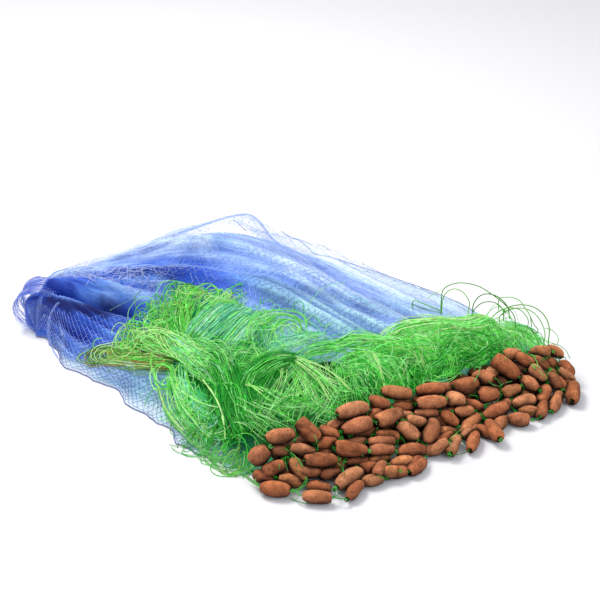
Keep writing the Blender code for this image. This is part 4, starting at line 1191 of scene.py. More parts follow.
left_mesh = left_mesh.build("netting_mesh_left", net_thread)
right_mesh = right_mesh.build("netting_mesh_right", net_thread)
skirt_mesh = skirt_mesh.build("netting_mesh_front_edge", net_thread)
veil_mesh = veil_mesh.build("netting_mesh_outer_fold", net_thread)
streaks = streaks.build("netting_fold_threads", net_thread)
arch = arch.build("netting_arch_threads", net_thread)
end_threads = end_threads.build("netting_end_loop_threads", net_thread)
piece(netting_mass, "netting", "netting")
piece(netting_veil, "netting")
piece(netting_loop, "netting")
for obj in (left_mesh, right_mesh, skirt_mesh, veil_mesh, streaks, arch, end_threads):
    piece(obj, "netting")
piece(selvedge_front, "selvedge", "selvedge_front")
piece(selvedge_back, "selvedge", "selvedge_back")

# ------------------------------------------------------------------ sinkers
BANK_TURN, BANK_SLOPE = math.radians(33.5), math.radians(33.0)
BANK_START = np.array((-0.0285, -0.4904)) + SHIFT[:2]
E1 = np.array((math.cos(BANK_TURN), math.sin(BANK_TURN)))
E2 = np.array((-math.sin(BANK_TURN), math.cos(BANK_TURN)))


def bank(along, across, height):
    """Row-frame point of the bank's own frame, all in millimetres."""
    along, across, height = (np.asarray(k, float) * MM for k in (along, across, height))
    p = BANK_START + along[..., None] * E1 + across[..., None] * E2
    return np.concatenate((p, height[..., None] + 0 * p[..., :1]), -1)


def bead_of(name):
    """Middle, direction, length and diameter of a packed sinker."""
    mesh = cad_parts[name].data
    co = np.empty(len(mesh.vertices) * 3)
    mesh.vertices.foreach_get("co", co)
    co = np.unique(co.reshape(-1, 3).round(6), axis=0)
    low, high = co.min(0), co.max(0)
    middle = co.mean(0)
    _, _, axes = np.linalg.svd(co - middle)
    way = axes[0]
    s = (co - middle) @ way
    middle = middle + way * (s.max() + s.min()) / 2
    far = np.linalg.norm((co - middle) - ((co - middle) @ way)[:, None] * way, axis=1).max()
    return middle, way, s.max() - s.min(), 2 * far


laid = [bead_of(name) for name in BEADS]

# Sinkers of the pile behind and between those, as they show in the view: place, direction in degrees
# round from the right, length and width there, mm under the bank's face, degrees pointing out of it.
MORE_COLUMNS = ("u", "v", "turn", "length", "width", "sunk", "toward")
MORE = (
    (310, 473, -5, 22, 11, 4, 0), (267, 476, -25, 24, 13, 4, 0), (293, 480, -15, 26, 12, 5, 0), (325, 442, 5, 20, 12, 7, 0),
    (337, 423, 20, 16, 13, 6, 0), (373, 418, 30, 17, 13, 4, 0), (404, 417, 0, 20, 12, 5, 0), (380, 444, 0, 28, 13, 5, 0),
    (354, 464, 0, 22, 12, 6, 0), (378, 463, 10, 24, 12, 6, 0), (373, 469, -4, 19, 12, 2, 0), (400, 463, 20, 19, 12, 3, 0),
    (411, 464, 30, 20, 12, 3, 0), (371, 478, 5, 19, 12, 1, 0), (380, 473, 50, 14, 12, 4, 0), (356, 488, 40, 20, 12, 2, 0),
    (540, 355, 0, 14, 11, 4, 20), (526, 361, -30, 18, 12, 4, 0), (514, 356, 0, 17, 12, 4, 0), (569, 381, -58, 16, 12, 3, 30),
    (567, 377, -40, 16, 12, 3, 0), (506, 408, 40, 15, 12, 3, 20), (540, 407, 60, 17, 12, 1, 0), (531, 410, 0, 18, 11, 2, 0),
    (472, 402, -10, 17, 13, 3, 0), (464, 413, 0, 20, 12, 4, 0), (452, 411, 15, 20, 12, 5, 0), (414, 423, -5, 17, 12, 4, 0),
    (428, 416, 3, 26, 11, 6, 0), (440, 418, -35, 18, 12, 6, 0), (447, 430, 0, 24, 12, 6, 0), (482, 429, -20, 20, 12, 2, 0),
    (500, 422, 30, 19, 13, 2, 0), (494, 433, -58, 18, 14, 0, 0), (441, 449, 30, 17, 13, 1, 30), (429, 450, 10, 18, 12, 1, 0),
    (414, 465, 30, 21, 13, 0, 0), (403, 466, 10, 18, 12, 1, 0), (553, 364, -30, 16, 12, 5, 0), (554, 373, -50, 17, 12, 5, 0),
    (402, 420, -5, 16, 12, 4, 0), (496, 369, 30, 16, 12, 4, 0), (450, 388, 0, 18, 12, 5, 0), (300, 460, -10, 26, 13, 9, 0),
    (320, 470, 0, 26, 12, 7, 0), (366, 432, 10, 24, 12, 9, 0), (340, 462, 20, 24, 12, 9, 0), (396, 470, 10, 20, 12, 5, 0),
    (470, 430, 30, 22, 12, 5, 0), (510, 398, 10, 22, 12, 7, 0), (534, 374, -30, 20, 12, 6, 0), (526, 394, 20, 20, 12, 6, 0),
    (560, 388, -50, 18, 12, 5, 0), (476, 392, 10, 20, 12, 7, 0), (440, 440, 30, 22, 12, 5, 0), (420, 440, 30, 22, 12, 7, 0),
    (284, 452, -10, 22, 13, 6, 0), (282, 472, 10, 22, 12, 5, 0), (420, 398, 5, 20, 12, 7, 0), (486, 416, 20, 20, 12, 6, 0),
)
HIDDEN_COLUMNS = ("along", "across", "height", "yaw")
HIDDEN = tuple(
    (along + 7 * math.sin(across), across, height, 40 * math.sin(along * 0.7 + across))
    for across, height, first, last in ((36, 16, 110, 430), (46, 9, 62, 440), (50, 24, 90, 430), (68, 9, 50, 450), (84, 10, 60, 450), (62, 26, 80, 430), (78, 20, 60, 440))
    for along in range(first, last, 37)
)


def front_of(along):
    return np.interp(along, (0, 30, 60, 90, 120, 400, 440, 470), (60, 40, 18, 4, 0, 0, 4, 12))


def on_bank(u, v, radius, sunk):
    """Where the bank shows at (u, v): on its sloped face, or low on the floor at its foot."""
    z = 0.02
    for _ in range(40):
        p = seen(u, v, z)
        off = p[:2] - BANK_START
        along, across = off @ E1 * 1000.0, off @ E2 * 1000.0
        rise = max(across - front_of(along) - 9, 0) * MM * math.tan(BANK_SLOPE)
        z += 0.5 * (max(radius + rise - sunk, radius) - z)
    p = seen(u, v, z)
    return p, REACH + (p[1] - SHIFT[1]) * COS - z * SIN, rise > 0.001


def laid_way(turn, sloped, toward):
    """A direction in the bank's face that shows at an angle, or points partly out of it."""
    sight, upward = np.array((0.0, COS, -SIN)), np.array((0.0, SIN, COS))
    slope = BANK_SLOPE if sloped else 0.0
    normal = np.array((-E2[0] * math.sin(slope), -E2[1] * math.sin(slope), math.cos(slope)))
    flat = np.array((math.cos(turn), 0.0, 0.0)) + upward * math.sin(turn)
    aim = flat - sight * (flat @ normal) / (sight @ normal)
    aim = aim / np.linalg.norm(aim) * math.cos(toward) - sight * math.sin(toward)
    aim /= np.linalg.norm(aim)
    return aim, math.sqrt(max(1 - (aim @ sight) ** 2, 0.05))


def nearest_points(p, d, h, q, g, m):
    """The nearest points of segment pairs given by middle, direction and half length."""
    r = p - q
    b, c, f = (d * g).sum(-1), (d * r).sum(-1), (g * r).sum(-1)
    den = np.maximum(1 - b * b, 1e-9)
    s = np.clip((b * f - c) / den, -h, h)
    t = np.clip(b * s + f, -m, m)
    s = np.clip(b * t - c, -h, h)
    return p + d * s[..., None], q + g * t[..., None]


def settle():
    """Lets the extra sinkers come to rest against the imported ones, which do not move."""
    place = [m for m, _, _, _ in laid]
    way = [w for _, w, _, _ in laid]
    size = [(l, d) for _, _, l, d in laid]
    fixed = len(place)
    for u, v, turn, length, width, sunk, toward in MORE:
        point, far, sloped = on_bank(u, v, 0.008, sunk * MM)
        aim, shown = laid_way(math.radians(turn), sloped, math.radians(toward))
        step = far / FOCAL
        place.append(point)
        way.append(aim)
        size.append((min(max(length * step / shown, 0.026), 0.036), min(max(width * step, 0.0145), 0.018)))
    for along, across, height, yaw in HIDDEN:
        place.append(bank(along, across, height))
        turn = math.radians(yaw)
        way.append(np.array((math.cos(turn), math.sin(turn), 0.0)))
        size.append((0.032, 0.0165))
    place, way, size = np.array(place), np.array(way), np.array(size)
    way /= np.linalg.norm(way, axis=1, keepdims=True)
    n = len(place)
    i, j = np.triu_indices(n, 1)
    free = np.arange(n) >= fixed
    use = free[i] | free[j]
    i, j = i[use], j[use]
    back = np.array((E2[0], E2[1], 0.0))
    start, reach = place.copy(), np.where(np.arange(n) < fixed + len(MORE), 0.0045, 0.009)
    for turn in range(160):
        close = np.linalg.norm(place[i] - place[j], axis=1) < (size[i, 0] + size[j, 0]) / 2
        a, b = i[close], j[close]
        pa, pb = nearest_points(place[a], way[a], size[a, 0] / 2 - size[a, 1] * 0.40, place[b], way[b], size[b, 0] / 2 - size[b, 1] * 0.40)
        apart = pa - pb
        gap = np.linalg.norm(apart, axis=1)
        need = np.clip((size[a, 1] + size[b, 1]) / 2 * 0.86 - gap, 0, 0.003)
        push = apart / np.maximum(gap, 1e-6)[:, None] * need[:, None]
        share = np.where(free[a] & free[b], 0.5, 1.0)[:, None] * 0.6
        move = np.zeros_like(place)
        np.add.at(move, a, push * share)
        np.add.at(move, b, -push * share)
        place = place + move * free[:, None]
        low = place[:, 2] - np.abs(way[:, 2]) * size[:, 0] * 0.4 - size[:, 1] / 2
        place[:, 2] += np.where(free, np.clip(0.0004 - low, 0, None), 0)
        moved = place - start
        far = np.linalg.norm(moved, axis=1)
        place = start + moved * np.minimum(1, reach / np.maximum(far, 1e-9))[:, None]
        deep = (place - bank(0, 0, 0)) @ back
        place -= np.where(free, np.clip(deep - 0.088, 0, None), 0)[:, None] * back
    pa, pb = nearest_points(place[i], way[i], size[i, 0] / 2 - size[i, 1] * 0.40, place[j], way[j], size[j, 0] / 2 - size[j, 1] * 0.40)
    over = (size[i, 1] + size[j, 1]) / 2 - np.linalg.norm(pa - pb, axis=1)
    worst = np.zeros(n)
    np.maximum.at(worst, i, over)
    np.maximum.at(worst, j, over)
    shown = fixed + len(MORE)
    keep = (np.arange(n) < shown) | (worst < 0.0085)
    keep &= ~((np.arange(n) >= shown) & (worst > 0.0085))
    return place[keep], way[keep], size[keep], np.arange(n)[keep] < shown


bead_place, bead_way, bead_size, bead_shown = settle()
print("sinkers", len(bead_place), "shown", int(bead_shown.sum()))
lump = [Wave(601 + k, 3, 1.0, 3) for k in range(4)]
CLAYS = (srgb(196, 128, 88), srgb(184, 114, 75), srgb(206, 141, 100), srgb(190, 122, 86), srgb(174, 107, 71), srgb(200, 133, 88), srgb(186, 114, 74))


def bead_mesh(number, place, way, length, diameter, rings, around):
    """A hand-rolled sinker: plump, blunt at both ends, a hole through it, finger flats and seams."""
    made = np.random.default_rng(9000 + number)
    half, full = length / 2 * 0.985, diameter / 2 * 1.05
    end = made.uniform(0.34, 0.52)
    lean = made.normal(0, 0.10)
    hole = made.uniform(0.26, 0.33) * full
    body = np.sin(np.linspace(-1, 1, rings) * np.pi / 2 * 0.985) / np.sin(np.pi / 2 * 0.985)
    swell = (1 - np.abs((body - lean) / (1 + abs(lean))) ** made.uniform(1.9, 2.6)).clip(0, 1) ** made.uniform(0.62, 0.90)
    radius = full * (end + (1 - end) * swell)
    for k, part in enumerate((0.76, 0.90, 0.965)):  # worn rims
        radius[k], radius[-1 - k] = radius[k] * part, radius[-1 - k] * part
    along = body * half * 0.985
    z, r = list(along), list(radius)
    inner = ((1.0, 0.66), (0.985, 0.40), (0.93, 0.0), (0.70, 0.0))
    for share, part in inner:
        z.append(half * share)
        r.append(hole + part * (radius[-1] - hole))
    z.append(half * 0.69)
    r.append(0.02 * full)
    head_z, head_r = [], []
    for share, part in inner:
        head_z.insert(0, -half * share)
        head_r.insert(0, hole + part * (radius[0] - hole))
    z, r = [-half * 0.69, *head_z, *z], [0.02 * full, *head_r, *r]
    z, r = np.array(z), np.array(r)
    turn = 2 * np.pi * np.arange(around) / around
    p = np.stack((r[:, None] * np.cos(turn), r[:, None] * np.sin(turn), z[:, None] + 0 * turn), -1)
    spin = made.uniform(0, 100)
    unit = p / full
    skin = step01((r / full - 0.30) / 0.25)[:, None]
    push = 0.065 * lump[0](unit[..., 0] * 1.3 + spin, unit[..., 1] * 1.3, unit[..., 2] * 1.1) + 0.030 * lump[1](unit[..., 0] * 4 + spin, unit[..., 1] * 4, unit[..., 2] * 3)
    push += 0.018 * lump[2](unit[..., 0] * 11 + spin, unit[..., 1] * 11, unit[..., 2] * 7)
    t = z[:, None] / half
    for _ in range(made.integers(1, 4)):  # flats from fingers and from lying together
        face, depth = made.uniform(0, 2 * np.pi), made.uniform(0.03, 0.10)
        lean_t = made.uniform(-0.4, 0.4)
        side = np.cos(turn - face)[None] * np.ones_like(t)
        push -= depth * step01((side - 0.72) / 0.28) * step01(1 - np.abs(t - lean_t) / 0.9)
    if made.random() < 0.55:  # a lengthwise seam where the clay was rolled round its line
        face, wind = made.uniform(0, 2 * np.pi), made.normal(0, 0.35)
        off = np.angle(np.exp(1j * (turn[None] - face - wind * t - 0.15 * np.sin(4 * t + face))))
        push -= made.uniform(0.09, 0.16) * np.exp(-((off / 0.16) ** 2)) * step01((1 - np.abs(t)) / 0.15)
        push += 0.035 * np.exp(-(((off - 0.34) / 0.18) ** 2)) * step01((1 - np.abs(t)) / 0.2)
    if made.random() < 0.45:  # an end pinched or chipped
        face, which = made.uniform(0, 2 * np.pi), made.choice((-1.0, 1.0))
        push -= made.uniform(0.10, 0.22) * step01((np.cos(turn - face)[None] - 0.3) / 0.6) * step01((which * t - 0.62) / 0.35)
    p[..., :2] *= (1 + push * skin)[..., None]
    p[..., 2] += full * 0.05 * lump[3](unit[..., 0] * 2 + spin, unit[..., 1] * 2, t * 2) * skin
    p[..., 0] += 0.06 * full * np.cos(np.pi * t * 0.5) * made.normal()
    axis = Vector(way).to_track_quat("Z", "Y").to_matrix() @ Matrix.Rotation(made.uniform(0, 6.28), 3, "Z")
    p = p @ np.array(axis).T + place
    p[..., 2] = np.maximum(p[..., 2], 0.0002)
    # painted shade: sinkers hidden deep in the pile at a third of their tone, each sinker darker inside its hole and in
    # its dents, and lighter on its bumps
    tone = CLAYS[number % len(CLAYS)] * made.uniform(0.90, 1.10) * (1.0 if bead_shown[number] else 0.34)
    dark = 1 - 0.80 * step01(1 - (r / full) / 0.38)  # inside the hole
    hollow = 1 + 3.2 * np.clip(push, -0.14, 0.04) * skin
    out = p - (place + ((p - place) @ way)[..., None] * way * 0.9)
    out = out / (np.linalg.norm(out, axis=-1, keepdims=True) + 1e-9)
    tint = tone * (dark[:, None] * hollow * painted_light_and_shade(number, p, out))[..., None]
    n = len(r)
    quads = grid_quads(n, around, wrap=True)[:, ::-1]
    caps = np.array([(0, k + 1, k) for k in range(1, around - 1)] + [((n - 1) * around, (n - 1) * around + k, (n - 1) * around + k + 1) for k in range(1, around - 1)])
    return p.reshape(-1, 3), quads, caps, tint.reshape(-1, 3)


def painted_light_and_shade(number, p, out):
    """Painted shade and light on a sinker: 1 in the open, darker where another sinker or the floor lies close, and
    lighter on top than underneath.
    """
    near = np.flatnonzero((np.linalg.norm(bead_place - bead_place[number], axis=1) < 0.050) & (np.arange(len(bead_place)) != number))
    q = p + out * 0.0045
    gap = np.full(p.shape[:-1], 1.0)
    for k in near:
        off = q - bead_place[k]
        s = np.clip(off @ bead_way[k], -bead_size[k, 0] / 2 + bead_size[k, 1] * 0.35, bead_size[k, 0] / 2 - bead_size[k, 1] * 0.35)
        gap = np.minimum(gap, np.linalg.norm(off - s[..., None] * bead_way[k], axis=-1) - bead_size[k, 1] / 2)
    floor_gap = q[..., 2]
    open_share = step01((np.minimum(gap, floor_gap) + 0.0030) / 0.0090)
    return (0.04 + 1.11 * open_share) * (0.56 + 0.60 * out[..., 2])


def joined_beads(name, numbers, rings, around):
    points, quads, caps, tints, count = [], [], [], [], 0
    for k in numbers:
        p, q, c, tint = bead_mesh(k, bead_place[k], bead_way[k], bead_size[k][0], bead_size[k][1], rings, around)
        points.append(p), quads.append(q + count), caps.append(c + count), tints.append(tint)
        count += len(p)
    return mesh_object(name, np.concatenate(points), np.concatenate(quads), np.concatenate(caps), tint=np.concatenate(tints), material=clay)


for k, name in enumerate(BEADS):
    piece(joined_beads(f"clay_{name}", [k], 22, 24), "clay", name)
more = [k for k in range(len(BEADS), len(bead_place)) if bead_shown[k]]
hidden = [k for k in range(len(BEADS), len(bead_place)) if not bead_shown[k]]
piece(joined_beads("clay_sinkers_between", more, 18, 18), "clay", "sinker_bed")
# sinkers under the pile, painted at a third of their tone as the shade in its gaps
piece(joined_beads("clay_sinkers_under", hidden, 12, 12), "clay")

# ------------------------------------------------------------------ the green sinker line
hank_top = blurred(soft_top, 3)

# Tones of the line's strands, one picked for each strand. The pale and straw ones stand partly for painted highlights
# along the strands, the dark ones partly for painted shade deep in the heap.
GREENS = {
    "bright": (srgb(104, 220, 84), srgb(128, 230, 108), srgb(84, 208, 76), srgb(144, 234, 122)),
    "pale": (srgb(176, 240, 164), srgb(158, 236, 152), srgb(196, 244, 178), srgb(140, 230, 138)),
    "mid": (srgb(56, 190, 58), srgb(44, 174, 52), srgb(78, 204, 76), srgb(40, 168, 64)),
    "dark": (srgb(20, 134, 30), srgb(14, 112, 26), srgb(30, 150, 38), srgb(18, 126, 48)),
    "teal": (srgb(104, 204, 172), srgb(138, 222, 194), srgb(186, 236, 220), srgb(78, 188, 154), srgb(152, 226, 174)),
    "olive": (srgb(140, 188, 88), srgb(116, 166, 66), srgb(168, 212, 122), srgb(92, 146, 56)),
    "rust": (srgb(206, 138, 78), srgb(188, 150, 84), srgb(176, 118, 66)),
    "straw": (srgb(202, 238, 164), srgb(186, 228, 138), srgb(216, 242, 188)),
}


def colours(made, mix, count):
    names = list(mix)
    share = np.array([mix[n] for n in names], float)
    picks = made.choice(len(names), count, p=share / share.sum())
    return np.array([GREENS[names[k]][made.integers(len(GREENS[names[k]]))] for k in picks])


def guide_line(rows, ground):
    """A smooth line over a ground through rows of u, v, lift_mm, half_width_mm."""
    rows = np.array(rows, float)
    p = onto(ground, rows[:, 0], rows[:, 1], rows[:, 2] * MM)
    far = np.concatenate(((0,), np.linalg.norm(np.diff(p[:, :2], axis=0), axis=1).cumsum()))
    table = np.column_stack((p[:, :2], rows[:, 2] * MM, rows[:, 3] * MM))
    length = far[-1]
    far /= far[-1]

    def at(t):
        out = read(far, table, t)
        step = read(far, table[:, :2], np.clip(t + 0.01, 0, 1)) - read(far, table[:, :2], np.clip(t - 0.01, 0, 1))
        step /= np.linalg.norm(step, axis=-1, keepdims=True) + 1e-12
        return out[..., :2], out[..., 2], np.maximum(out[..., 3], 0.0004), step

    return at, length


bed = {"points": [], "quads": [], "tint": [], "fan": [], "count": 0}


def lay_bed(rows, deep, tone, seed, reach=(0.04, 0.92), wide=0.86):
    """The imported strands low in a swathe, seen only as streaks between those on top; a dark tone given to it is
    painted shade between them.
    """
    at, length = guide_line(rows, hank_top)
    n, m = 44, 15
    t, s = np.meshgrid(np.linspace(*reach, n), np.linspace(-wide, wide, m), indexing="ij")
    xy, lift, width, way = at(t)
    side = np.stack((-way[..., 1], way[..., 0]), -1)
    wave = Wave(seed, 2, (7.0, 3.0), 2)
    ragged = 1 + 0.22 * Wave(seed + 5, 2, (16.0, 0.6), 2)(t, np.sign(s))
    xy = xy + side * (width * s * ragged)[..., None]
    z = hank_top(xy[..., 0], xy[..., 1]) + lift - deep * MM + 0.0014 * wave(t, s * 2)
    z -= 0.004 * (np.abs(s) / wide) ** 3
    z = np.maximum(np.maximum(z, net_soft(xy[..., 0], xy[..., 1]) + 0.0008), 0.0010)
    streak_tone = tone * (1 + 0.18 * wave(t * 0.6, s * 6))[..., None]
    bed["points"].append(np.concatenate((xy, z[..., None]), -1).reshape(-1, 3))
    bed["quads"].append(grid_quads(n, m, bed["count"]))
    bed["tint"].append(streak_tone.reshape(-1, 3))
    bed["fan"].append(np.stack((t * length + seed, s * width, 0 * t), -1).reshape(-1, 3))
    bed["count"] += n * m


def swathe(threads, rows, count, mix, seed, deep=6.0, thick=1.1, wander=0.30, cross=0.30, curl=0.0, loops=0.0, turn_mm=(5, 16), starts=(0.0, 0.25), ends=(0.8, 1.0), nested=False, rise=4.0, points=20, floor_mm=1.0, fade=0.22, proud=1.5):
    """A swathe of the line's strands along a guide. Some turn back at its end in a loop."""
    made = np.random.default_rng(seed)
    at, _ = guide_line(rows, hank_top)
    s = np.linspace(-1, 1, count) + made.normal(0, 0.12, count)
    made.shuffle(s)
    depth = made.random(count) ** 1.15
    t0, t1 = made.uniform(*starts, count), made.uniform(*ends, count)
    if nested:
        t1 = ends[0] + (ends[1] - ends[0]) * np.clip(np.abs(s) * 0.8 + made.uniform(0, 0.3, count), 0, 1)
    looped = made.random(count) < loops
    drift = cross * made.normal(size=count)
    tone = colours(made, mix, count)
    # painted shade: the deeper a strand lies in the swathe, the darker it is
    tone = tone * (1 - fade * depth[:, None]) * made.uniform(0.9, 1.12, (count, 1))
    noise = [Wave(seed * 7 + k, 2, (4.6, 1.0), 3) for k in range(4)]
    ripple = [Wave(seed * 11 + k, 2, (9.0, 1.0), 2) for k in range(2)]

    def path(t, lateral, lean, which, phase):
        xy, lift, width, way = at(t)
        side = np.stack((-way[..., 1], way[..., 0]), -1)
        sway = wander * noise[which](t * 1.6, phase + 0 * t) + lean * (t - 0.45) * 1.6
        small = (0.0006 + curl * MM) * ripple[which % 2](t, phase * 1.7)
        along = curl * MM * ripple[1 - which % 2](t, phase * 1.3 + 5)
        xy = xy + side * (width * (lateral + sway) + small)[..., None] + way * along[..., None]
        return xy, lift

    for group in (False, True):
        pick = np.flatnonzero(looped == group)
        if not len(pick):
            continue
        m = len(pick)
        phase = made.uniform(0, 60, m)[:, None]
        lateral, lean = s[pick][:, None], drift[pick][:, None]
        u = np.linspace(0, 1, points)[None]
        t = t0[pick][:, None] + (t1[pick] - t0[pick])[:, None] * u
        xy, up = path(t, lateral, lean, 0, phase)
        hump = proud * MM * noise[2](t * 2.4, phase + 9)
        if group:
            size = made.uniform(*turn_mm, m)[:, None] * MM * made.choice((-1.0, 1.0), m)[:, None]
            if nested:
                _, _, width_end, _ = at(t1[pick])
                size = -2 * s[pick][:, None] * width_end[:, None] * made.uniform(0.8, 1.1, (m, 1))
                size = np.where(np.abs(size) < 0.006, 0.006, size)
            last = xy[:, -1] - xy[:, -2]
            last /= np.linalg.norm(last, axis=-1, keepdims=True) + 1e-12
            side = np.stack((-last[:, 1], last[:, 0]), -1)
            phi = np.linspace(0, np.pi, 11)[None, 1:]
            reach = made.uniform(0.5, 1.1, (m, 1)) * np.abs(size)
            turn_xy = xy[:, -1][:, None] + last[:, None] * (reach * np.sin(phi))[..., None] + side[:, None] * (size * (1 - np.cos(phi)) / 2)[..., None]
            _, _, width, _ = at(t1[pick])
            back_u = np.linspace(0, 1, points - 6)[None, 1:]
            tb = t1[pick][:, None] + (t0[pick] - t1[pick])[:, None] * back_u * made.uniform(0.55, 1.0, (m, 1))
            back_xy, back_up = path(tb, lateral, lean, 1, phase + 20)
            first, _ = path(t1[pick][:, None], lateral, lean, 1, phase + 20)
            gap = turn_xy[:, -1] - first[:, 0]
            keep = (size / np.maximum(width[:, None], 0.004)).clip(-2.2, 2.2)
            _, _, width_b, way_b = at(tb)
            side_b = np.stack((-way_b[..., 1], way_b[..., 0]), -1)
            blend = (1 - step01(back_u / 0.45))[..., None]
            offset = side_b * (width_b * keep * 0.6)[..., None] * (1 - blend)
            back_xy = back_xy + gap[:, None] * blend + offset
            xy = np.concatenate((xy, turn_xy, back_xy), 1)
            up = np.concatenate((up, np.repeat(up[:, -1:], 10, 1), back_up), 1)
            hump = np.concatenate((hump, np.repeat(hump[:, -1:], 10, 1) + rise * MM * made.uniform(0.2, 1.0, (m, 1)) * np.sin(phi), proud * MM * noise[3](tb * 2.4, phase)), 1)
        z = hank_top(xy[..., 0], xy[..., 1]) + up - deep * MM * depth[pick][:, None] + hump
        z = np.maximum(z, net_soft(xy[..., 0], xy[..., 1]) + floor_mm * MM)
        z = np.maximum(z, 0.0009)
        pad = np.concatenate((z[:, :1], z[:, :1], z, z[:, -1:], z[:, -1:]), 1)
        z = (pad[:, :-4] + 2 * pad[:, 1:-3] + 3 * pad[:, 2:-2] + 2 * pad[:, 3:-1] + pad[:, 4:]) / 9
        threads.add(np.concatenate((xy, z[..., None]), -1), thick / 2 * MM * made.uniform(0.80, 1.15, (m, 1)) * np.ones((m, z.shape[1])), tone[pick])


def nest(threads, rows, count, mix, seed, size_mm=(6, 18), deep=5.0, thick=1.05, turns=(0.5, 1.6), flat=0.75, points=30, fade=0.2, proud=3.0):
    """Loose curls of the line lying over a swathe: open arcs and rings of every size, each its own way."""
    made = np.random.default_rng(seed)
    at, _ = guide_line(rows, hank_top)
    t = made.uniform(0.02, 0.98, count)
    xy, lift, width, way = at(t)
    side = np.stack((-way[:, 1], way[:, 0]), -1)
    xy = xy + side * (width * made.uniform(-1, 1, count))[:, None]
    size = made.uniform(*size_mm, count) * MM
    sweep = made.uniform(*turns, count) * 2 * np.pi * made.choice((-1, 1), count)
    start = made.uniform(0, 2 * np.pi, count)
    turn = np.linspace(0, 1, points)[None]
    angle = start[:, None] + sweep[:, None] * turn
    grow = 1 + made.normal(0, 0.35, (count, 1)) * (turn - 0.5)
    squash = made.uniform(flat - 0.25, 1.0, count)[:, None]
    lean = made.uniform(0, np.pi, count)[:, None]
    cx, cy = size[:, None] * grow * np.cos(angle), size[:, None] * grow * squash * np.sin(angle)
    x = xy[:, 0][:, None] + cx * np.cos(lean) - cy * np.sin(lean) + made.normal(0, 1.0, (count, 1)) * size[:, None] * (turn - 0.5)
    y = xy[:, 1][:, None] + cx * np.sin(lean) + cy * np.cos(lean) + made.normal(0, 1.0, (count, 1)) * size[:, None] * (turn - 0.5)
    depth = made.random(count) ** 1.3
    z = hank_top(x, y) + lift[:, None] - deep * MM * depth[:, None]
    z = z + proud * MM * made.uniform(0, 1, (count, 1)) * (0.5 + 0.5 * np.sin(angle * 0.5 + start[:, None]))
    z = np.maximum(z, np.maximum(net_soft(x, y) + 0.0010, 0.0009))
    pad = np.concatenate((z[:, :1], z[:, :1], z, z[:, -1:], z[:, -1:]), 1)
    z = (pad[:, :-4] + 2 * pad[:, 1:-3] + 3 * pad[:, 2:-2] + 2 * pad[:, 3:-1] + pad[:, 4:]) / 9
    # painted shade: the deeper a curl lies, the darker it is
    tone = colours(made, mix, count) * (1 - fade * depth[:, None]) * made.uniform(0.9, 1.12, (count, 1))
    threads.add(np.stack((x, y, z), -1), thick / 2 * MM * made.uniform(0.8, 1.15, (count, 1)) * np.ones((count, points)), tone)


def laid_arc(threads, rows, tone, copies=1, thick=1.15, spread=0.8, seed=1, points=34, ground=None, rough=0.35):
    """A single strand laid through rows of u, v, lift_mm over the heap."""
    made = np.random.default_rng(seed)
    rows = np.array(rows, float)
    far = np.concatenate(((0,), np.hypot(*np.diff(rows[:, :2], axis=0).T).cumsum()))
    for k in range(copies):
        t = np.linspace(0, far[-1], points)
        line = read(far, rows, t)
        shift = made.normal(0, spread, 2) * (k > 0)
        line[:, 0] += shift[0] + rough * np.sin(t * 0.21 + made.uniform(0, 6))
        line[:, 1] += shift[1] + rough * np.sin(t * 0.17 + made.uniform(0, 6))
        p = onto(hank_top if ground is None else ground, line[:, 0], line[:, 1], np.maximum(line[:, 2], 0.6) * MM)
        p[:, 2] = np.maximum(p[:, 2], 0.0008)
        threads.add(p, thick / 2 * MM * made.uniform(0.85, 1.1), np.asarray(tone) * made.uniform(0.9, 1.08))


def standing(threads, rows, tone, thick=1.1, points=40):
    """A springy strand that stands up over the heap: rows of u, v and depth_mm (row of the working frame)."""
    rows = np.array(rows, float)
    far = np.concatenate(((0,), np.hypot(*np.diff(rows[:, :2], axis=0).T).cumsum()))
    line = read(far, rows, np.linspace(0, far[-1], points))
    y = line[:, 2] * MM
    q = (300.0 - line[:, 1]) / FOCAL
    z = (q * (REACH + y * COS) - y * SIN) / (COS + q * SIN)
    far_off = REACH + y * COS - z * SIN
    x = (line[:, 0] - 300.0) / FOCAL * far_off
    z = np.maximum(z, max(0.0008, thick * 0.0005 + 0.0001))
    threads.add(np.stack((x + SHIFT[0], y + SHIFT[1], z), -1), thick / 2 * MM, tone)


left_strands, front_strands, right_strands, lattice_strands = Threads(), Threads(), Threads(), Threads()
OLIVE = {"olive": 5, "straw": 2.0, "bright": 2, "dark": 0.6, "rust": 0.7}
FRESH = {"bright": 4, "mid": 6, "pale": 1.6, "dark": 1.2, "straw": 0.3}
DEEPER = {"mid": 6, "bright": 0.8, "dark": 8.0, "pale": 0.3}
SHADE = {"mid": 5, "dark": 3, "bright": 3}
TEAL = {"teal": 8, "pale": 2.5, "mid": 0.6, "dark": 0.2, "bright": 0.6}
LIGHT = {"pale": 4, "bright": 4, "straw": 1.5, "mid": 3}
G_MID, G_DEEP, G_TEAL, G_OLIVE = srgb(44, 166, 48), srgb(20, 116, 36), srgb(92, 190, 148), srgb(98, 150, 70)

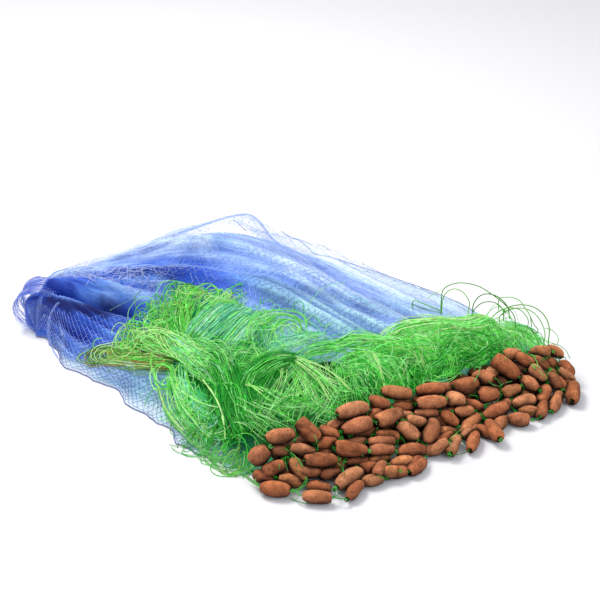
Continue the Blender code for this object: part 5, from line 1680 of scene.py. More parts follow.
# -- the fan of loops on the left, drawn together at the first gather
FAN_LOW = ((176, 357, -2, 5), (150, 356, -1, 13), (122, 354, 0, 16), (94, 357, 1, 13))
FAN_MID = ((182, 352, -2, 4), (162, 342, 0, 11), (144, 332, 1, 13), (128, 328, 1, 10))
FAN_HIGH = ((183, 350, -2, 4), (170, 330, 0, 12), (158, 312, 1, 14), (149, 304, 1, 10))
FAN_TOP = ((185, 350, -2, 4), (180, 322, 0, 12), (184, 300, 1, 15), (192, 288, 1, 11))
TEAL_A = ((190, 352, -3, 8), (206, 331, 0, 13), (228, 311, 1, 15), (252, 295, 1, 11))
TEAL_B = ((216, 360, -3, 9), (230, 341, 0, 12), (247, 322, 0, 12), (266, 306, 1, 9))
lay_bed(FAN_LOW, 9, G_OLIVE, 901, reach=(0.04, 0.84), wide=0.75)
lay_bed(FAN_MID, 9, srgb(70, 134, 60), 902, reach=(0.04, 0.78), wide=0.7)
lay_bed(FAN_HIGH, 10, srgb(84, 168, 88), 903, reach=(0.04, 0.72), wide=0.75)
lay_bed(FAN_TOP, 10, srgb(84, 176, 100), 904, reach=(0.04, 0.76), wide=0.8)
lay_bed(TEAL_A, 8, G_TEAL, 905, reach=(0.22, 0.80), wide=0.7)
lay_bed(TEAL_B, 8, G_TEAL, 906, reach=(0.28, 0.74), wide=0.7)
swathe(left_strands, FAN_LOW, 60, OLIVE, 11, loops=0.95, nested=True, ends=(0.55, 1.0), deep=8, wander=0.14, cross=0.10, rise=4)
swathe(left_strands, ((172, 366, -1, 4), (150, 366, 0, 7), (124, 364, 0, 9), (106, 362, 0, 8)), 16, {"rust": 5, "olive": 3, "straw": 1}, 111, loops=0.3, deep=4, wander=0.4, cross=0.3, thick=0.9, ends=(0.5, 1.0))
swathe(left_strands, FAN_MID, 46, {"olive": 4, "straw": 2.5, "bright": 3, "pale": 1}, 12, loops=0.95, ends=(0.50, 1.0), deep=8, wander=0.18, cross=0.2, rise=6, turn_mm=(4, 12))
swathe(left_strands, FAN_HIGH, 44, {"bright": 4, "olive": 4, "straw": 2, "mid": 1}, 13, loops=0.95, ends=(0.5, 1.0), deep=10, wander=0.24, cross=0.25, rise=7, turn_mm=(4, 13))
swathe(left_strands, FAN_TOP, 50, {"bright": 5, "mid": 2, "olive": 3, "straw": 2}, 14, loops=0.95, ends=(0.55, 1.0), deep=12, wander=0.24, cross=0.25, rise=8, turn_mm=(6, 22))
swathe(left_strands, ((186, 340, -2, 7), (198, 322, 0, 10), (214, 306, 1, 11), (234, 293, 1, 9)), 56, {"teal": 5, "pale": 3, "bright": 2, "olive": 1}, 116, loops=0.4, ends=(0.8, 1.05), deep=5, wander=0.10, cross=0.18, rise=6, turn_mm=(4, 12), thick=1.0)
swathe(left_strands, TEAL_A, 100, TEAL, 16, loops=0.45, ends=(0.8, 1.05), deep=5, wander=0.08, cross=0.16, rise=8, turn_mm=(5, 22), thick=1.0)
swathe(left_strands, TEAL_B, 76, TEAL, 17, loops=0.45, ends=(0.75, 1.0), deep=5, wander=0.10, cross=0.16, rise=8, turn_mm=(4, 18), thick=1.0)
swathe(left_strands, ((198, 307, 2, 9), (214, 298, 4, 9), (230, 293, 5, 8), (244, 295, 4, 6)), 30, {"bright": 4, "pale": 3, "straw": 1}, 18, loops=0.9, deep=3, wander=0.5, cross=0.4, rise=8, turn_mm=(8, 22), ends=(0.5, 1.0))
nest(left_strands, ((118, 348, 1, 12), (148, 324, 1, 12), (176, 302, 1, 12), (205, 290, 1, 12)), 60, {"bright": 4, "olive": 3, "straw": 2, "pale": 1}, 19, size_mm=(6, 17), deep=4, proud=5)
# the lightest of these laid strands stand partly for painted highlights
PALE, STRAW, SPRING, LEAF = srgb(180, 238, 156), srgb(206, 240, 166), srgb(140, 230, 106), srgb(98, 214, 74)
for k, rows in enumerate((
    ((135, 337, 3), (143, 332, 4), (151, 330, 4), (160, 330, 4), (169, 332, 4), (177, 336, 3), (184, 344, 3), (190, 354, 3), (196, 363, 2)),
    ((139, 342, 3), (149, 335, 4), (160, 333, 4), (170, 337, 4), (179, 345, 3), (187, 355, 3)),
    ((159, 333, 4), (162, 341, 5), (167, 349, 4), (176, 355, 4), (187, 362, 3)),
    ((163, 332, 5), (172, 340, 5), (182, 346, 4), (192, 352, 3), (204, 360, 2)),
)):
    laid_arc(left_strands, rows, (STRAW, PALE)[k % 2], copies=3, thick=1.05, spread=3.6, seed=300 + k)
for k, rows in enumerate((
    ((187, 312, 2), (187, 300, 4), (191, 292, 6), (198, 287, 7), (207, 284, 7), (215, 286, 6), (219, 292, 5), (215, 297, 4), (209, 294, 4)),
    ((205, 291, 4), (211, 286, 6), (217, 289, 6), (218, 296, 5), (212, 300, 3)),
    ((230, 296, 5), (232, 289, 9), (239, 284, 12), (248, 283, 12), (256, 286, 11), (262, 292, 9), (264, 300, 6), (261, 307, 3)),
    ((222, 296, 3), (232, 289, 5), (243, 286, 6), (254, 287, 6), (261, 291, 5), (261, 297, 4), (250, 300, 3), (243, 299, 3)),
    ((160, 300, 1), (157, 291, 4), (160, 284, 5), (168, 281, 5), (178, 281, 4), (187, 284, 2)),
    ((128, 320, 1), (129, 310, 3), (134, 302, 4), (141, 297, 4), (149, 297, 3), (154, 302, 2), (152, 310, 1)),
    ((134, 324, 1), (134, 313, 3), (139, 305, 4), (147, 303, 4), (152, 309, 2)),
    ((112, 334, 1), (113, 328, 3), (118, 323, 4), (124, 325, 3), (125, 331, 2)),
    ((98, 351, 1), (93, 345, 2), (96, 339, 3), (102, 338, 2)),
)):
    laid_arc(left_strands, rows, (SPRING, PALE, LEAF, STRAW)[k % 4], copies=1 + (k in (0, 2, 3)), spread=1.6, seed=320 + k)
for k, rows in enumerate((
    ((110, 311, 0.8), (120, 305, 1.5), (129, 300, 2), (140, 293, 3)),
    ((153, 284, 1), (166, 281, 3), (180, 277, 5), (190, 276, 4)),
)):
    laid_arc(left_strands, rows, srgb(132, 176, 128), thick=0.6, seed=340 + k)

# -- the fountain that falls to the front from the first gather
FALL_A = ((176, 350, 1, 10), (203, 360, 4, 16), (222, 380, 5, 22), (234, 404, 3, 26), (246, 430, 1, 24))
FALL_B = ((182, 354, 0, 4), (178, 372, 2, 10), (184, 398, 1, 12), (198, 414, 0, 11), (226, 430, 0, 10))
FALL_C = ((384, 340, 1, 13), (356, 342, 2, 14), (330, 345, 3, 13), (310, 351, 3, 9), (293, 358, 2, 4))
FALL_E = ((298, 356, 2, 3), (283, 356, 4, 8), (264, 362, 5, 14), (249, 378, 4, 18), (241, 404, 2, 20), (250, 434, 1, 18))
FALL_D = ((292, 358, 1, 3), (272, 378, 1, 12), (262, 404, 1, 20), (262, 438, 0, 24))
lay_bed(FALL_A, 8, srgb(20, 118, 32), 911, reach=(0.10, 0.95), wide=0.95)
lay_bed(FALL_B, 8, srgb(40, 150, 46), 912, reach=(0.04, 0.92))
lay_bed(FALL_E, 8, srgb(24, 124, 34), 913, reach=(0.10, 0.95))
lay_bed(FALL_D, 7, G_DEEP, 914, reach=(0.04, 0.95))
swathe(front_strands, FALL_A, 290, DEEPER, 21, deep=8, wander=0.12, cross=0.22, curl=0.08, starts=(0.0, 0.3), ends=(0.72, 1.02), thick=0.95, proud=1.0)
swathe(front_strands, ((176, 350, 2, 10), (198, 354, 5, 16), (218, 366, 5, 18), (230, 384, 4, 16)), 110, {"pale": 7, "bright": 6, "mid": 1.5, "teal": 1}, 121, deep=3, wander=0.24, cross=0.5, curl=0.4, starts=(0.0, 0.5), ends=(0.5, 1.0), thick=0.95, proud=2.5)
swathe(front_strands, ((166, 337, 3, 9), (183, 346, 5, 10), (198, 357, 6, 12), (210, 374, 5, 14)), 72, {"pale": 7, "straw": 2, "bright": 4, "teal": 1}, 129, deep=2, wander=0.3, cross=0.45, curl=0.3, starts=(0.0, 0.4), ends=(0.6, 1.0), thick=1.0, points=14, fade=0.1)
swathe(front_strands, FALL_B, 84, {"bright": 4, "pale": 5, "teal": 3.5, "straw": 1}, 22, deep=8, wander=0.24, cross=0.30, curl=0.4, ends=(0.5, 1.0), loops=0.35, rise=4)
swathe(front_strands, FALL_C, 64, {"mid": 3, "bright": 6, "pale": 4}, 24, deep=4, wander=0.5, cross=0.6, curl=0.5, starts=(0.0, 0.6), ends=(0.6, 1.0), points=22, thick=0.9)
swathe(front_strands, FALL_E, 190, {"mid": 8, "bright": 4, "dark": 5, "pale": 1}, 124, deep=5, wander=0.12, cross=0.22, curl=0.1, starts=(0.0, 0.12), ends=(0.5, 1.0), points=18, thick=0.95, proud=1.0)
swathe(front_strands, FALL_D, 110, DEEPER, 25, deep=7, wander=0.25, cross=0.4, curl=0.7, ends=(0.6, 1.0))
nest(front_strands, ((172, 380, 1, 12), (182, 404, 1, 14), (200, 416, 0, 12), (228, 432, 0, 12)), 40, {"bright": 4, "pale": 4, "straw": 1}, 122, size_mm=(8, 24), deep=4, proud=3, turns=(0.3, 0.8))
# arches between the two gathers
ARCHES = ((284, 362, 0, 4), (262, 348, 2, 8), (256, 328, 4, 8), (276, 315, 6, 8), (300, 318, 4, 8), (306, 336, 1, 8), (300, 354, 0, 8))
swathe(front_strands, ((266, 348, 2, 9), (250, 351, 3, 11), (234, 356, 3, 11), (220, 368, 3, 12)), 48, {"bright": 5, "mid": 4, "pale": 3}, 130, deep=3, wander=0.4, cross=0.5, curl=0.4, starts=(0.0, 0.4), ends=(0.6, 1.0), thick=0.95, points=14)
swathe(front_strands, ARCHES, 9, {"bright": 4, "pale": 4, "straw": 1}, 26, deep=4, wander=0.9, cross=0.5, curl=0.4, starts=(0.0, 0.1), ends=(0.92, 1.0), points=30, thick=1.0)
swathe(front_strands, ((250, 362, 0, 12), (258, 342, 2, 13), (274, 326, 3, 13), (296, 324, 3, 12), (320, 334, 1, 9)), 16, {"bright": 3, "pale": 4, "teal": 3}, 27, deep=5, wander=0.9, cross=0.5, curl=0.8, thick=1.0)
swathe(front_strands, ((296, 357, 1, 4), (280, 345, 2, 10), (270, 330, 3, 14), (266, 316, 3, 12)), 44, {"bright": 0.5, "pale": 4, "teal": 9}, 127, deep=4, wander=0.3, cross=0.4, curl=0.4, starts=(0.0, 0.3), ends=(0.5, 1.0), thick=0.8, points=16, loops=0.4, turn_mm=(6, 16))
swathe(front_strands, ((262, 352, 1, 12), (284, 342, 2, 13), (306, 336, 2, 13), (326, 338, 1, 9)), 34, {"bright": 1, "pale": 4, "teal": 8}, 128, deep=3, wander=0.6, cross=0.6, curl=0.6, thick=0.8, points=16)
for k, rows in enumerate((
    ((248, 340, 1), (247, 328, 5), (251, 319, 9), (259, 314, 11), (270, 311, 12), (284, 310, 12), (296, 312, 10), (304, 318, 7), (306, 328, 3)),
    ((250, 344, 1), (249, 330, 5), (254, 321, 8), (263, 316, 10), (276, 313, 10), (290, 314, 9), (300, 320, 6)),
    ((262, 340, 2), (264, 328, 6), (270, 320, 9), (279, 315, 10), (290, 315, 9), (300, 321, 6), (303, 330, 3)),
    ((268, 344, 1), (272, 332, 4), (280, 324, 6), (292, 320, 7), (301, 325, 5), (298, 335, 2)),
    ((276, 338, 2), (283, 328, 4), (293, 324, 5), (300, 330, 3)),
    ((293, 311, 4), (295, 303, 6), (299, 301, 7), (303, 304, 6), (303, 311, 4)),
    ((306, 322, 3), (312, 315, 5), (317, 318, 4), (322, 326, 2), (336, 322, 3), (341, 319, 2)),
    ((322, 339, 2), (326, 327, 4), (333, 323, 4), (341, 321, 2)),
)):
    laid_arc(front_strands, rows, (SPRING, PALE, LEAF)[k % 3], copies=(3, 2, 2, 2, 2, 1, 1, 1)[k], thick=1.05, spread=1.6, seed=350 + k)
laid_arc(front_strands, ((303, 318, 3), (307, 308, 9), (314, 297, 13), (323, 288, 15), (333, 284, 15), (345, 283, 12)), srgb(140, 220, 150), thick=0.9, seed=361, rough=0.1)
# the small coil that lies at the left of the fountain
made_coil = np.random.default_rng(71)
for k in range(10):
    t = np.linspace(0, 2 * np.pi * made_coil.uniform(0.4, 0.8), 28)
    r = made_coil.uniform(6.0, 13.0) * (1 + 0.45 * made_coil.normal() * (t / 6 - 0.5))
    turn = made_coil.uniform(0, 6.3)
    u = 163 + r * 0.9 * np.cos(t + turn) + made_coil.normal(0, 2.0)
    v = 375 + r * 1.15 * np.sin(t + turn) + made_coil.normal(0, 2.4)
    p = onto(hank_top, u, v, (1.0 + 3.0 * made_coil.random()) * MM)
    p[:, 2] = p[:, 2].mean() * 0.5 + 0.5 * p[:, 2]
    front_strands.add(p, 0.55 * MM, (SPRING, LEAF, PALE, srgb(120, 214, 110))[k % 4])
for k, rows in enumerate((
    ((153, 366, 2), (150, 374, 2), (151, 383, 2), (155, 389, 1.5), (160, 388, 1.5)),
    ((152, 352, 3), (150, 362, 3), (153, 372, 2), (156, 384, 2), (160, 393, 1), (163, 404, 1), (168, 414, 1), (174, 424, 1)),
    ((158, 385, 2), (161, 396, 2), (166, 408, 2), (174, 420, 1.5), (184, 430, 1)),
    ((172, 378, 3), (176, 392, 3), (184, 408, 3), (196, 424, 2), (210, 438, 1)),
    ((187, 372, 3), (189, 384, 4), (187, 398, 3), (190, 410, 2), (198, 420, 1)),
    ((200, 376, 4), (212, 392, 4), (220, 408, 3), (224, 424, 2), (225, 438, 1)),
    ((176, 388, 2), (188, 396, 3), (204, 404, 3), (220, 408, 2)),
    ((246, 372, 4), (248, 382, 4), (256, 390, 4), (266, 398, 3), (274, 404, 3), (281, 414, 2)),
    ((246, 384, 3), (254, 386, 4), (263, 392, 4)),
)):
    laid_arc(front_strands, rows, (PALE, SPRING, STRAW)[k % 3], copies=2, thick=1.25, spread=1.5, seed=380 + k)
# loops that run out over the floor at the front
for k, rows in enumerate((
    ((158, 390, 1), (161, 400, 1), (165, 412, 0.8), (170, 422, 0.8), (177, 430, 0.8), (186, 433, 0.8), (195, 430, 0.8), (201, 423, 1)),
    ((186, 433, 0.8), (192, 442, 0.8), (200, 451, 0.8), (211, 457, 0.8), (222, 460, 0.8), (232, 458, 0.8), (238, 451, 1)),
    ((206, 428, 1), (202, 438, 0.8), (201, 449, 0.8), (206, 460, 0.8), (217, 468, 0.8), (232, 472, 0.8), (247, 470, 0.8), (257, 463, 1)),
    ((236, 456, 0.8), (240, 468, 0.8), (249, 478, 0.8), (260, 485, 0.8)),
    ((214, 438, 1), (208, 448, 0.8), (210, 459, 0.8), (221, 467, 0.8), (233, 466, 0.8), (241, 459, 0.8)),
    ((172, 412, 1), (182, 420, 0.8), (194, 424, 0.8), (206, 424, 1)),
    ((198, 432, 1), (196, 442, 0.8), (202, 452, 0.8), (214, 458, 0.8), (228, 456, 0.8), (238, 448, 1)),
    ((224, 448, 1), (230, 458, 0.8), (240, 466, 0.8), (252, 472, 0.8), (262, 474, 0.8)),
    ((176, 424, 1), (186, 436, 0.8), (198, 446, 0.8), (212, 452, 0.8), (226, 450, 0.8)),
)):
    laid_arc(front_strands, rows, (srgb(112, 190, 96), srgb(92, 176, 84), srgb(140, 206, 124))[k % 3], copies=2, thick=1.3, spread=1.6, seed=400 + k)
nest(front_strands, ((188, 430, 0, 9), (206, 446, 0, 12), (226, 456, 0, 13), (250, 466, 0, 11)), 34, {"bright": 3, "olive": 3, "mid": 4}, 123, size_mm=(9, 22), deep=0, proud=1, turns=(0.5, 1.1), thick=1.15)

# -- the lattice of strands over the back of the bank
LATTICE_A = ((292, 358, 2, 3), (308, 374, 3, 10), (334, 398, 1, 18), (366, 412, 0, 22))
LATTICE_B = ((246, 384, 1, 13), (290, 398, 1, 20), (336, 410, 0, 20), (368, 418, 0, 14))
LATTICE_C = ((302, 364, 1, 44), (306, 390, 1, 42), (312, 420, 0, 38))
LATTICE_D = ((352, 352, 1, 28), (364, 376, 1, 32), (378, 400, 0, 26))
# the dark beds under the lattice stand for painted shade in the holes between its strands
lay_bed(LATTICE_C, 8, srgb(12, 74, 22), 921, reach=(0.0, 0.95), wide=1.0)
lay_bed(LATTICE_D, 8, srgb(34, 140, 46), 922, reach=(0.0, 0.95), wide=1.0)
lay_bed(LATTICE_B, 8, srgb(12, 70, 22), 923, reach=(0.0, 0.95), wide=1.0)
swathe(lattice_strands, LATTICE_A, 50, LIGHT, 31, deep=4, wander=0.18, cross=0.35, curl=0.3, ends=(0.5, 1.0), points=16, thick=1.05, fade=0.55)
swathe(lattice_strands, LATTICE_B, 38, {"bright": 5, "mid": 3, "pale": 5}, 32, deep=4, wander=0.10, cross=0.22, curl=0.15, ends=(0.6, 1.0), points=16, thick=1.0, fade=0.55)
swathe(lattice_strands, LATTICE_C, 52, {"bright": 4, "pale": 6, "straw": 1, "mid": 3}, 33, deep=4, wander=0.07, cross=0.20, curl=0.1, starts=(0.0, 0.15), ends=(0.85, 1.0), points=14, thick=1.15, fade=0.55)
swathe(lattice_strands, ((318, 362, 1, 30), (292, 388, 1, 32), (262, 414, 0, 30)), 46, {"bright": 4, "pale": 6, "mid": 3}, 37, deep=4, wander=0.07, cross=0.20, curl=0.1, starts=(0.0, 0.15), ends=(0.85, 1.0), points=14, thick=1.15, fade=0.55)
swathe(lattice_strands, LATTICE_D, 110, {"bright": 5, "pale": 4, "mid": 3}, 34, deep=5, wander=0.22, cross=0.4, curl=0.4, ends=(0.5, 1.0), points=16, fade=0.42)
swathe(lattice_strands, ((252, 394, 0, 13), (268, 416, 0, 18), (286, 432, -1, 18)), 36, {"bright": 4, "mid": 3, "pale": 5}, 35, deep=5, wander=0.25, cross=0.45, curl=0.4, ends=(0.5, 1.0), points=16, fade=0.55)
nest(lattice_strands, ((262, 392, 1, 16), (300, 392, 1, 24), (346, 386, 1, 24)), 30, {"pale": 4, "bright": 4, "straw": 1}, 38, size_mm=(10, 30), deep=3, proud=2, turns=(0.2, 0.6))
for k, rows in enumerate((
    ((296, 360, 3), (306, 369, 4), (316, 379, 4), (324, 390, 3), (331, 402, 2)),
    ((297, 359, 3), (309, 366, 4), (320, 374, 4), (330, 384, 3), (338, 396, 2)),
    ((295, 361, 3), (303, 372, 4), (311, 384, 3), (317, 396, 2)),
    ((298, 358, 3), (314, 363, 4), (328, 370, 4), (341, 380, 3), (352, 392, 2)),
    ((236, 404, 3), (252, 412, 3), (268, 420, 2), (280, 431, 2)),
    ((268, 396, 3), (262, 408, 3), (256, 420, 2), (251, 432, 2)),
    ((287, 370, 3), (285, 382, 3), (281, 394, 3)),
    ((302, 374, 3), (298, 386, 3), (296, 396, 3)),
    ((294, 372, 3), (297, 384, 3), (302, 394, 3), (308, 402, 2)),
    ((372, 352, 3), (378, 364, 3), (382, 376, 2), (384, 388, 2)),
    ((362, 348, 3), (370, 360, 3), (380, 370, 2), (390, 378, 2)),
    ((330, 366, 3), (340, 358, 4), (352, 353, 4), (366, 352, 3), (380, 356, 2)),
)):
    laid_arc(lattice_strands, rows, (STRAW, PALE, SPRING)[k % 3], copies=3, thick=0.95, spread=4.0, seed=430 + k)

# -- the heap on the right
HEAP_TOP = ((374, 350, 0, 6), (398, 330, 2, 9), (438, 320, 3, 10), (478, 320, 3, 10), (514, 332, 2, 9), (546, 352, 0, 7))
HEAP_MID = ((340, 362, 0, 10), (396, 348, 1, 14), (448, 338, 2, 16), (500, 346, 1, 14), (536, 356, 0, 9))
HEAP_DOWN = ((392, 332, 1, 14), (430, 346, 2, 20), (462, 364, 1, 20), (482, 378, 0, 14))
HEAP_LEFT = ((342, 352, 1, 14), (378, 362, 1, 18), (412, 380, 0, 18), (436, 392, 0, 12))
HEAP_LOW = ((380, 364, -1, 18), (430, 366, -1, 20), (478, 362, -1, 16), (520, 358, -2, 10))
lay_bed(HEAP_TOP, 7, srgb(64, 180, 60), 931)
HEAP_END = ((488, 320, 1, 9), (516, 332, 0, 13), (534, 346, 0, 12), (546, 360, 0, 8))
lay_bed(HEAP_END, 6, srgb(56, 172, 60), 936, reach=(0.0, 0.9), wide=1.0)
swathe(right_strands, HEAP_END, 80, {"bright": 5, "mid": 3, "pale": 4}, 148, deep=5, wander=0.5, cross=0.5, curl=0.8, starts=(0.0, 0.4), ends=(0.6, 1.0), proud=2.5, points=18)
lay_bed(HEAP_MID, 7, G_MID, 932, wide=1.0)
lay_bed(HEAP_DOWN, 7, srgb(40, 166, 56), 933, wide=1.0)
lay_bed(HEAP_LEFT, 7, srgb(44, 160, 60), 934, wide=1.0)
lay_bed(HEAP_LOW, 7, srgb(26, 130, 42), 935, reach=(0.0, 1.0), wide=1.0)
lay_bed(((416, 388, 4, 13), (450, 377, 4, 13), (480, 366, 4, 12), (504, 359, 3, 9)), 1, srgb(36, 140, 50), 937, reach=(0.0, 1.0), wide=1.0)
lay_bed(((258, 442, 2, 10), (286, 431, 3, 12), (316, 418, 3, 10)), 1, srgb(26, 116, 40), 938, reach=(0.0, 1.0), wide=1.0)
swathe(lattice_strands, ((412, 390, 7, 14), (450, 378, 7, 15), (480, 368, 7, 14), (510, 358, 5, 9)), 110, {"mid": 4, "bright": 6, "dark": 1.6, "pale": 2}, 149, deep=3, wander=0.6, cross=0.7, curl=0.8, starts=(0.0, 0.5), ends=(0.5, 1.0), points=18)
swathe(lattice_strands, ((430, 348, 3, 32), (448, 362, 6, 34), (462, 380, 7, 30)), 100, {"mid": 3, "bright": 6, "pale": 3}, 150, deep=3, wander=0.24, cross=0.5, curl=0.5, starts=(0.0, 0.5), ends=(0.6, 1.0), points=14)
swathe(lattice_strands, ((316, 384, 3, 34), (296, 410, 5, 34), (276, 436, 5, 26)), 34, {"mid": 1, "bright": 4, "pale": 6}, 151, deep=3, wander=0.06, cross=0.22, curl=0.1, starts=(0.0, 0.3), ends=(0.8, 1.0), points=14, fade=0.55)
swathe(lattice_strands, ((244, 404, 3, 22), (276, 418, 5, 20), (312, 428, 4, 14)), 34, {"mid": 1, "bright": 5, "pale": 6}, 152, deep=3, wander=0.08, cross=0.24, curl=0.1, starts=(0.0, 0.3), ends=(0.7, 1.0), points=14, fade=0.55)
swathe(right_strands, HEAP_TOP, 160, {"bright": 6, "mid": 1, "pale": 4.5, "straw": 2.0, "olive": 1}, 41, deep=5, wander=0.5, cross=0.5, curl=0.6, starts=(0.0, 0.5), ends=(0.5, 1.0), points=24, proud=3)
swathe(right_strands, HEAP_MID, 180, {"bright": 5, "mid": 1.5, "pale": 6, "straw": 2.4, "olive": 1.4}, 42, deep=6, wander=0.5, cross=0.5, curl=0.7, starts=(0.0, 0.5), ends=(0.5, 1.0), points=22)
swathe(right_strands, HEAP_DOWN, 120, {"bright": 5, "mid": 1.5, "pale": 5.5, "straw": 2.2, "olive": 1.4}, 43, deep=5, wander=0.5, cross=0.6, curl=0.9, ends=(0.5, 1.0))
swathe(right_strands, HEAP_LEFT, 120, {"bright": 5, "mid": 3, "pale": 4}, 44, deep=5, wander=0.45, cross=0.5, curl=0.8, ends=(0.5, 1.0))
swathe(right_strands, ((452, 326, 1, 10), (490, 334, 1, 14), (516, 350, 0, 14), (530, 362, 0, 9)), 80, {"bright": 5, "mid": 2, "pale": 3, "straw": 1.6, "olive": 1.6}, 45, deep=5, wander=0.5, cross=0.5, curl=0.9, ends=(0.6, 1.0))
swathe(right_strands, HEAP_LOW, 110, {"mid": 5, "bright": 4, "dark": 1.6}, 46, deep=6, wander=0.45, cross=0.5, curl=0.8)
swathe(right_strands, ((500, 322, 1, 8), (522, 332, 1, 10), (538, 346, 0, 8), (548, 356, 0, 6)), 44, {"bright": 4, "pale": 4, "teal": 1}, 48, deep=5, wander=0.6, cross=0.5, curl=0.8, ends=(0.6, 1.0), proud=2.5)
nest(right_strands, ((372, 352, 1, 14), (430, 336, 2, 18), (486, 334, 2, 16), (530, 350, 1, 10)), 100, {"bright": 4, "pale": 4, "straw": 1, "mid": 2}, 49, size_mm=(8, 26), deep=4, proud=4, turns=(0.25, 0.8))
nest(right_strands, ((350, 366, 1, 14), (396, 368, 1, 18), (444, 368, 1, 16), (486, 366, 0, 12)), 70, {"bright": 4, "pale": 3, "mid": 3}, 50, size_mm=(8, 24), deep=4, proud=3, turns=(0.25, 0.8))
swathe(right_strands, ((330, 348, 1, 6), (356, 336, 4, 7), (384, 338, 3, 8), (410, 348, 1, 8)), 40, {"bright": 4, "pale": 4, "mid": 2}, 47, deep=4, wander=0.6, cross=0.4, curl=0.8)
for k, rows in enumerate((
    ((380, 336, 3), (392, 326, 5), (406, 322, 5), (420, 322, 4), (436, 320, 3), (452, 316, 3)),
    ((412, 324, 3), (430, 332, 4), (444, 344, 4), (452, 358, 3), (455, 372, 2), (458, 384, 2)),
    ((384, 350, 3), (404, 350, 4), (424, 352, 4), (440, 356, 3), (456, 362, 2)),
    ((396, 342, 3), (412, 338, 4), (430, 338, 4), (450, 342, 3)),
    ((454, 340, 3), (460, 330, 5), (466, 320, 5), (470, 310, 4)),
    ((494, 318, 3), (506, 324, 4), (514, 334, 4), (514, 346, 3), (506, 354, 2), (494, 362, 1)),
    ((434, 342, 3), (446, 350, 4), (462, 352, 4), (478, 348, 3), (490, 340, 2)),
    ((436, 338, 3), (444, 348, 4), (450, 362, 3), (452, 376, 2)),
)):
    laid_arc(right_strands, rows, (PALE, SPRING, LEAF, SPRING)[k % 4], copies=2, thick=1.0, spread=3.0, seed=460 + k)
# springy strands that stand up over the heap: place in the view and depth in the working frame, in mm
STANDING = (
    ((441, 322, -62), (441, 308, -60), (441.5, 298, -60), (443, 290, -60), (450, 285, -61), (460, 283, -62), (470, 284, -64), (480, 287, -68), (489, 292.5, -74), (498, 299, -82), (506, 306, -90), (514, 316, -100)),
    ((442, 306, -60), (443, 299, -58), (447, 292, -58), (454, 289, -60), (461, 291, -62), (466, 296, -66), (469.5, 303, -70), (468, 312, -74)),
    ((473, 306, -68), (476, 300, -67), (481, 295.5, -70), (488, 294, -74), (496, 296, -80), (503, 301, -88), (508, 308, -94)),
    ((499, 299, -84), (505, 297.5, -88), (512, 297.5, -94), (520, 301, -102), (525, 308, -110), (530, 316, -118)),
    ((504, 310, -92), (513, 306, -96), (523, 305, -102), (533, 307, -112), (541, 312, -122), (547, 320, -134), (549.5, 330, -146), (548.5, 342, -156)),
    ((500, 316, -90), (512, 309, -96), (526, 309, -106), (536, 315, -116), (542, 324, -126), (545, 334, -138), (544, 344, -146)),
    ((530, 316, -112), (534, 325, -120), (538, 330, -126), (535, 333, -128), (531, 328, -124)),
    ((545, 328, -134), (553, 331, -142), (558, 338, -150), (557, 345, -156)),
    ((551, 343, -150), (560, 346, -158), (566, 351, -166), (570, 359, -174)),
    ((404, 330, -84), (409, 321, -84), (413, 312, -84), (412, 304, -82), (414, 300.5, -82), (424, 304, -84), (434, 308, -86), (442, 311, -88)),
    ((412, 304, -82), (422, 308, -84), (432, 311, -85), (442, 313, -87)),
    ((428, 298, -78), (434, 294, -76), (441, 290.5, -74)),
    ((414, 330, -84), (418, 322, -84), (416, 316, -84), (419, 312, -83)),
    ((484, 330, -86), (490, 320, -86), (498, 312, -90), (508, 308, -96), (520, 310, -104), (528, 320, -114), (526, 332, -120)),
    ((470, 320, -72), (474, 310, -70), (482, 303, -74), (492, 302, -80), (500, 306, -88), (506, 314, -94)),
)
for k, rows in enumerate(STANDING):
    if not 8 < k < 13:
        rows = tuple((u, v, y - 24) for u, v, y in rows)
    if k < 6:
        # its two feet go down into the heap
        (u0, v0, y0), (u1, v1, y1) = rows[0], rows[-1]
        rows = ((u0 - 0.5, v0 + 11, y0),) + rows + ((u1 + 1.5, v1 + 11, y1 - 3),)
    standing(right_strands, rows, (srgb(104, 172, 62), srgb(128, 192, 86), srgb(92, 156, 58), srgb(138, 198, 102))[k % 4], thick=(1.8, 1.6, 1.8, 1.6, 1.8, 1.6, 1.5, 1.3, 1.2, 1.7, 1.5, 1.0, 1.5, 1.6, 1.6)[k])
made_arcs = np.random.default_rng(83)
for k in range(26):
    u0 = made_arcs.uniform(404, 536)
    base = np.interp(u0, (400, 440, 457, 495, 511, 530, 545, 556), (326, 318, 314, 316, 323, 334, 345, 354))
    wide, high, y = made_arcs.uniform(14, 36), made_arcs.uniform(2, 13), -(34 + (u0 - 404) * 0.86)
    lean = made_arcs.uniform(-0.4, 0.9)
    slope = np.interp(u0, (440, 490, 520, 550), (0.0, 0.1, 0.7, 0.9))
    t = np.linspace(0, 1, 9)
    u = u0 + wide * (t - 0.3) + lean * 5 * np.sin(np.pi * t)
    v = base + 5 + slope * wide * (t - 0.3) - (high + 5) * np.sin(np.pi * t ** made_arcs.uniform(0.7, 1.4))
    rows = np.stack((u, v, y - 0.9 * wide * (t - 0.3)), -1)
    tone, thick = colours(made_arcs, {"bright": 5, "mid": 3, "pale": 2}, 1)[0] * 0.85, made_arcs.uniform(0.8, 1.2)
    if not 438 < u0 < 476:
        standing(right_strands, rows, tone, thick=thick, points=24)


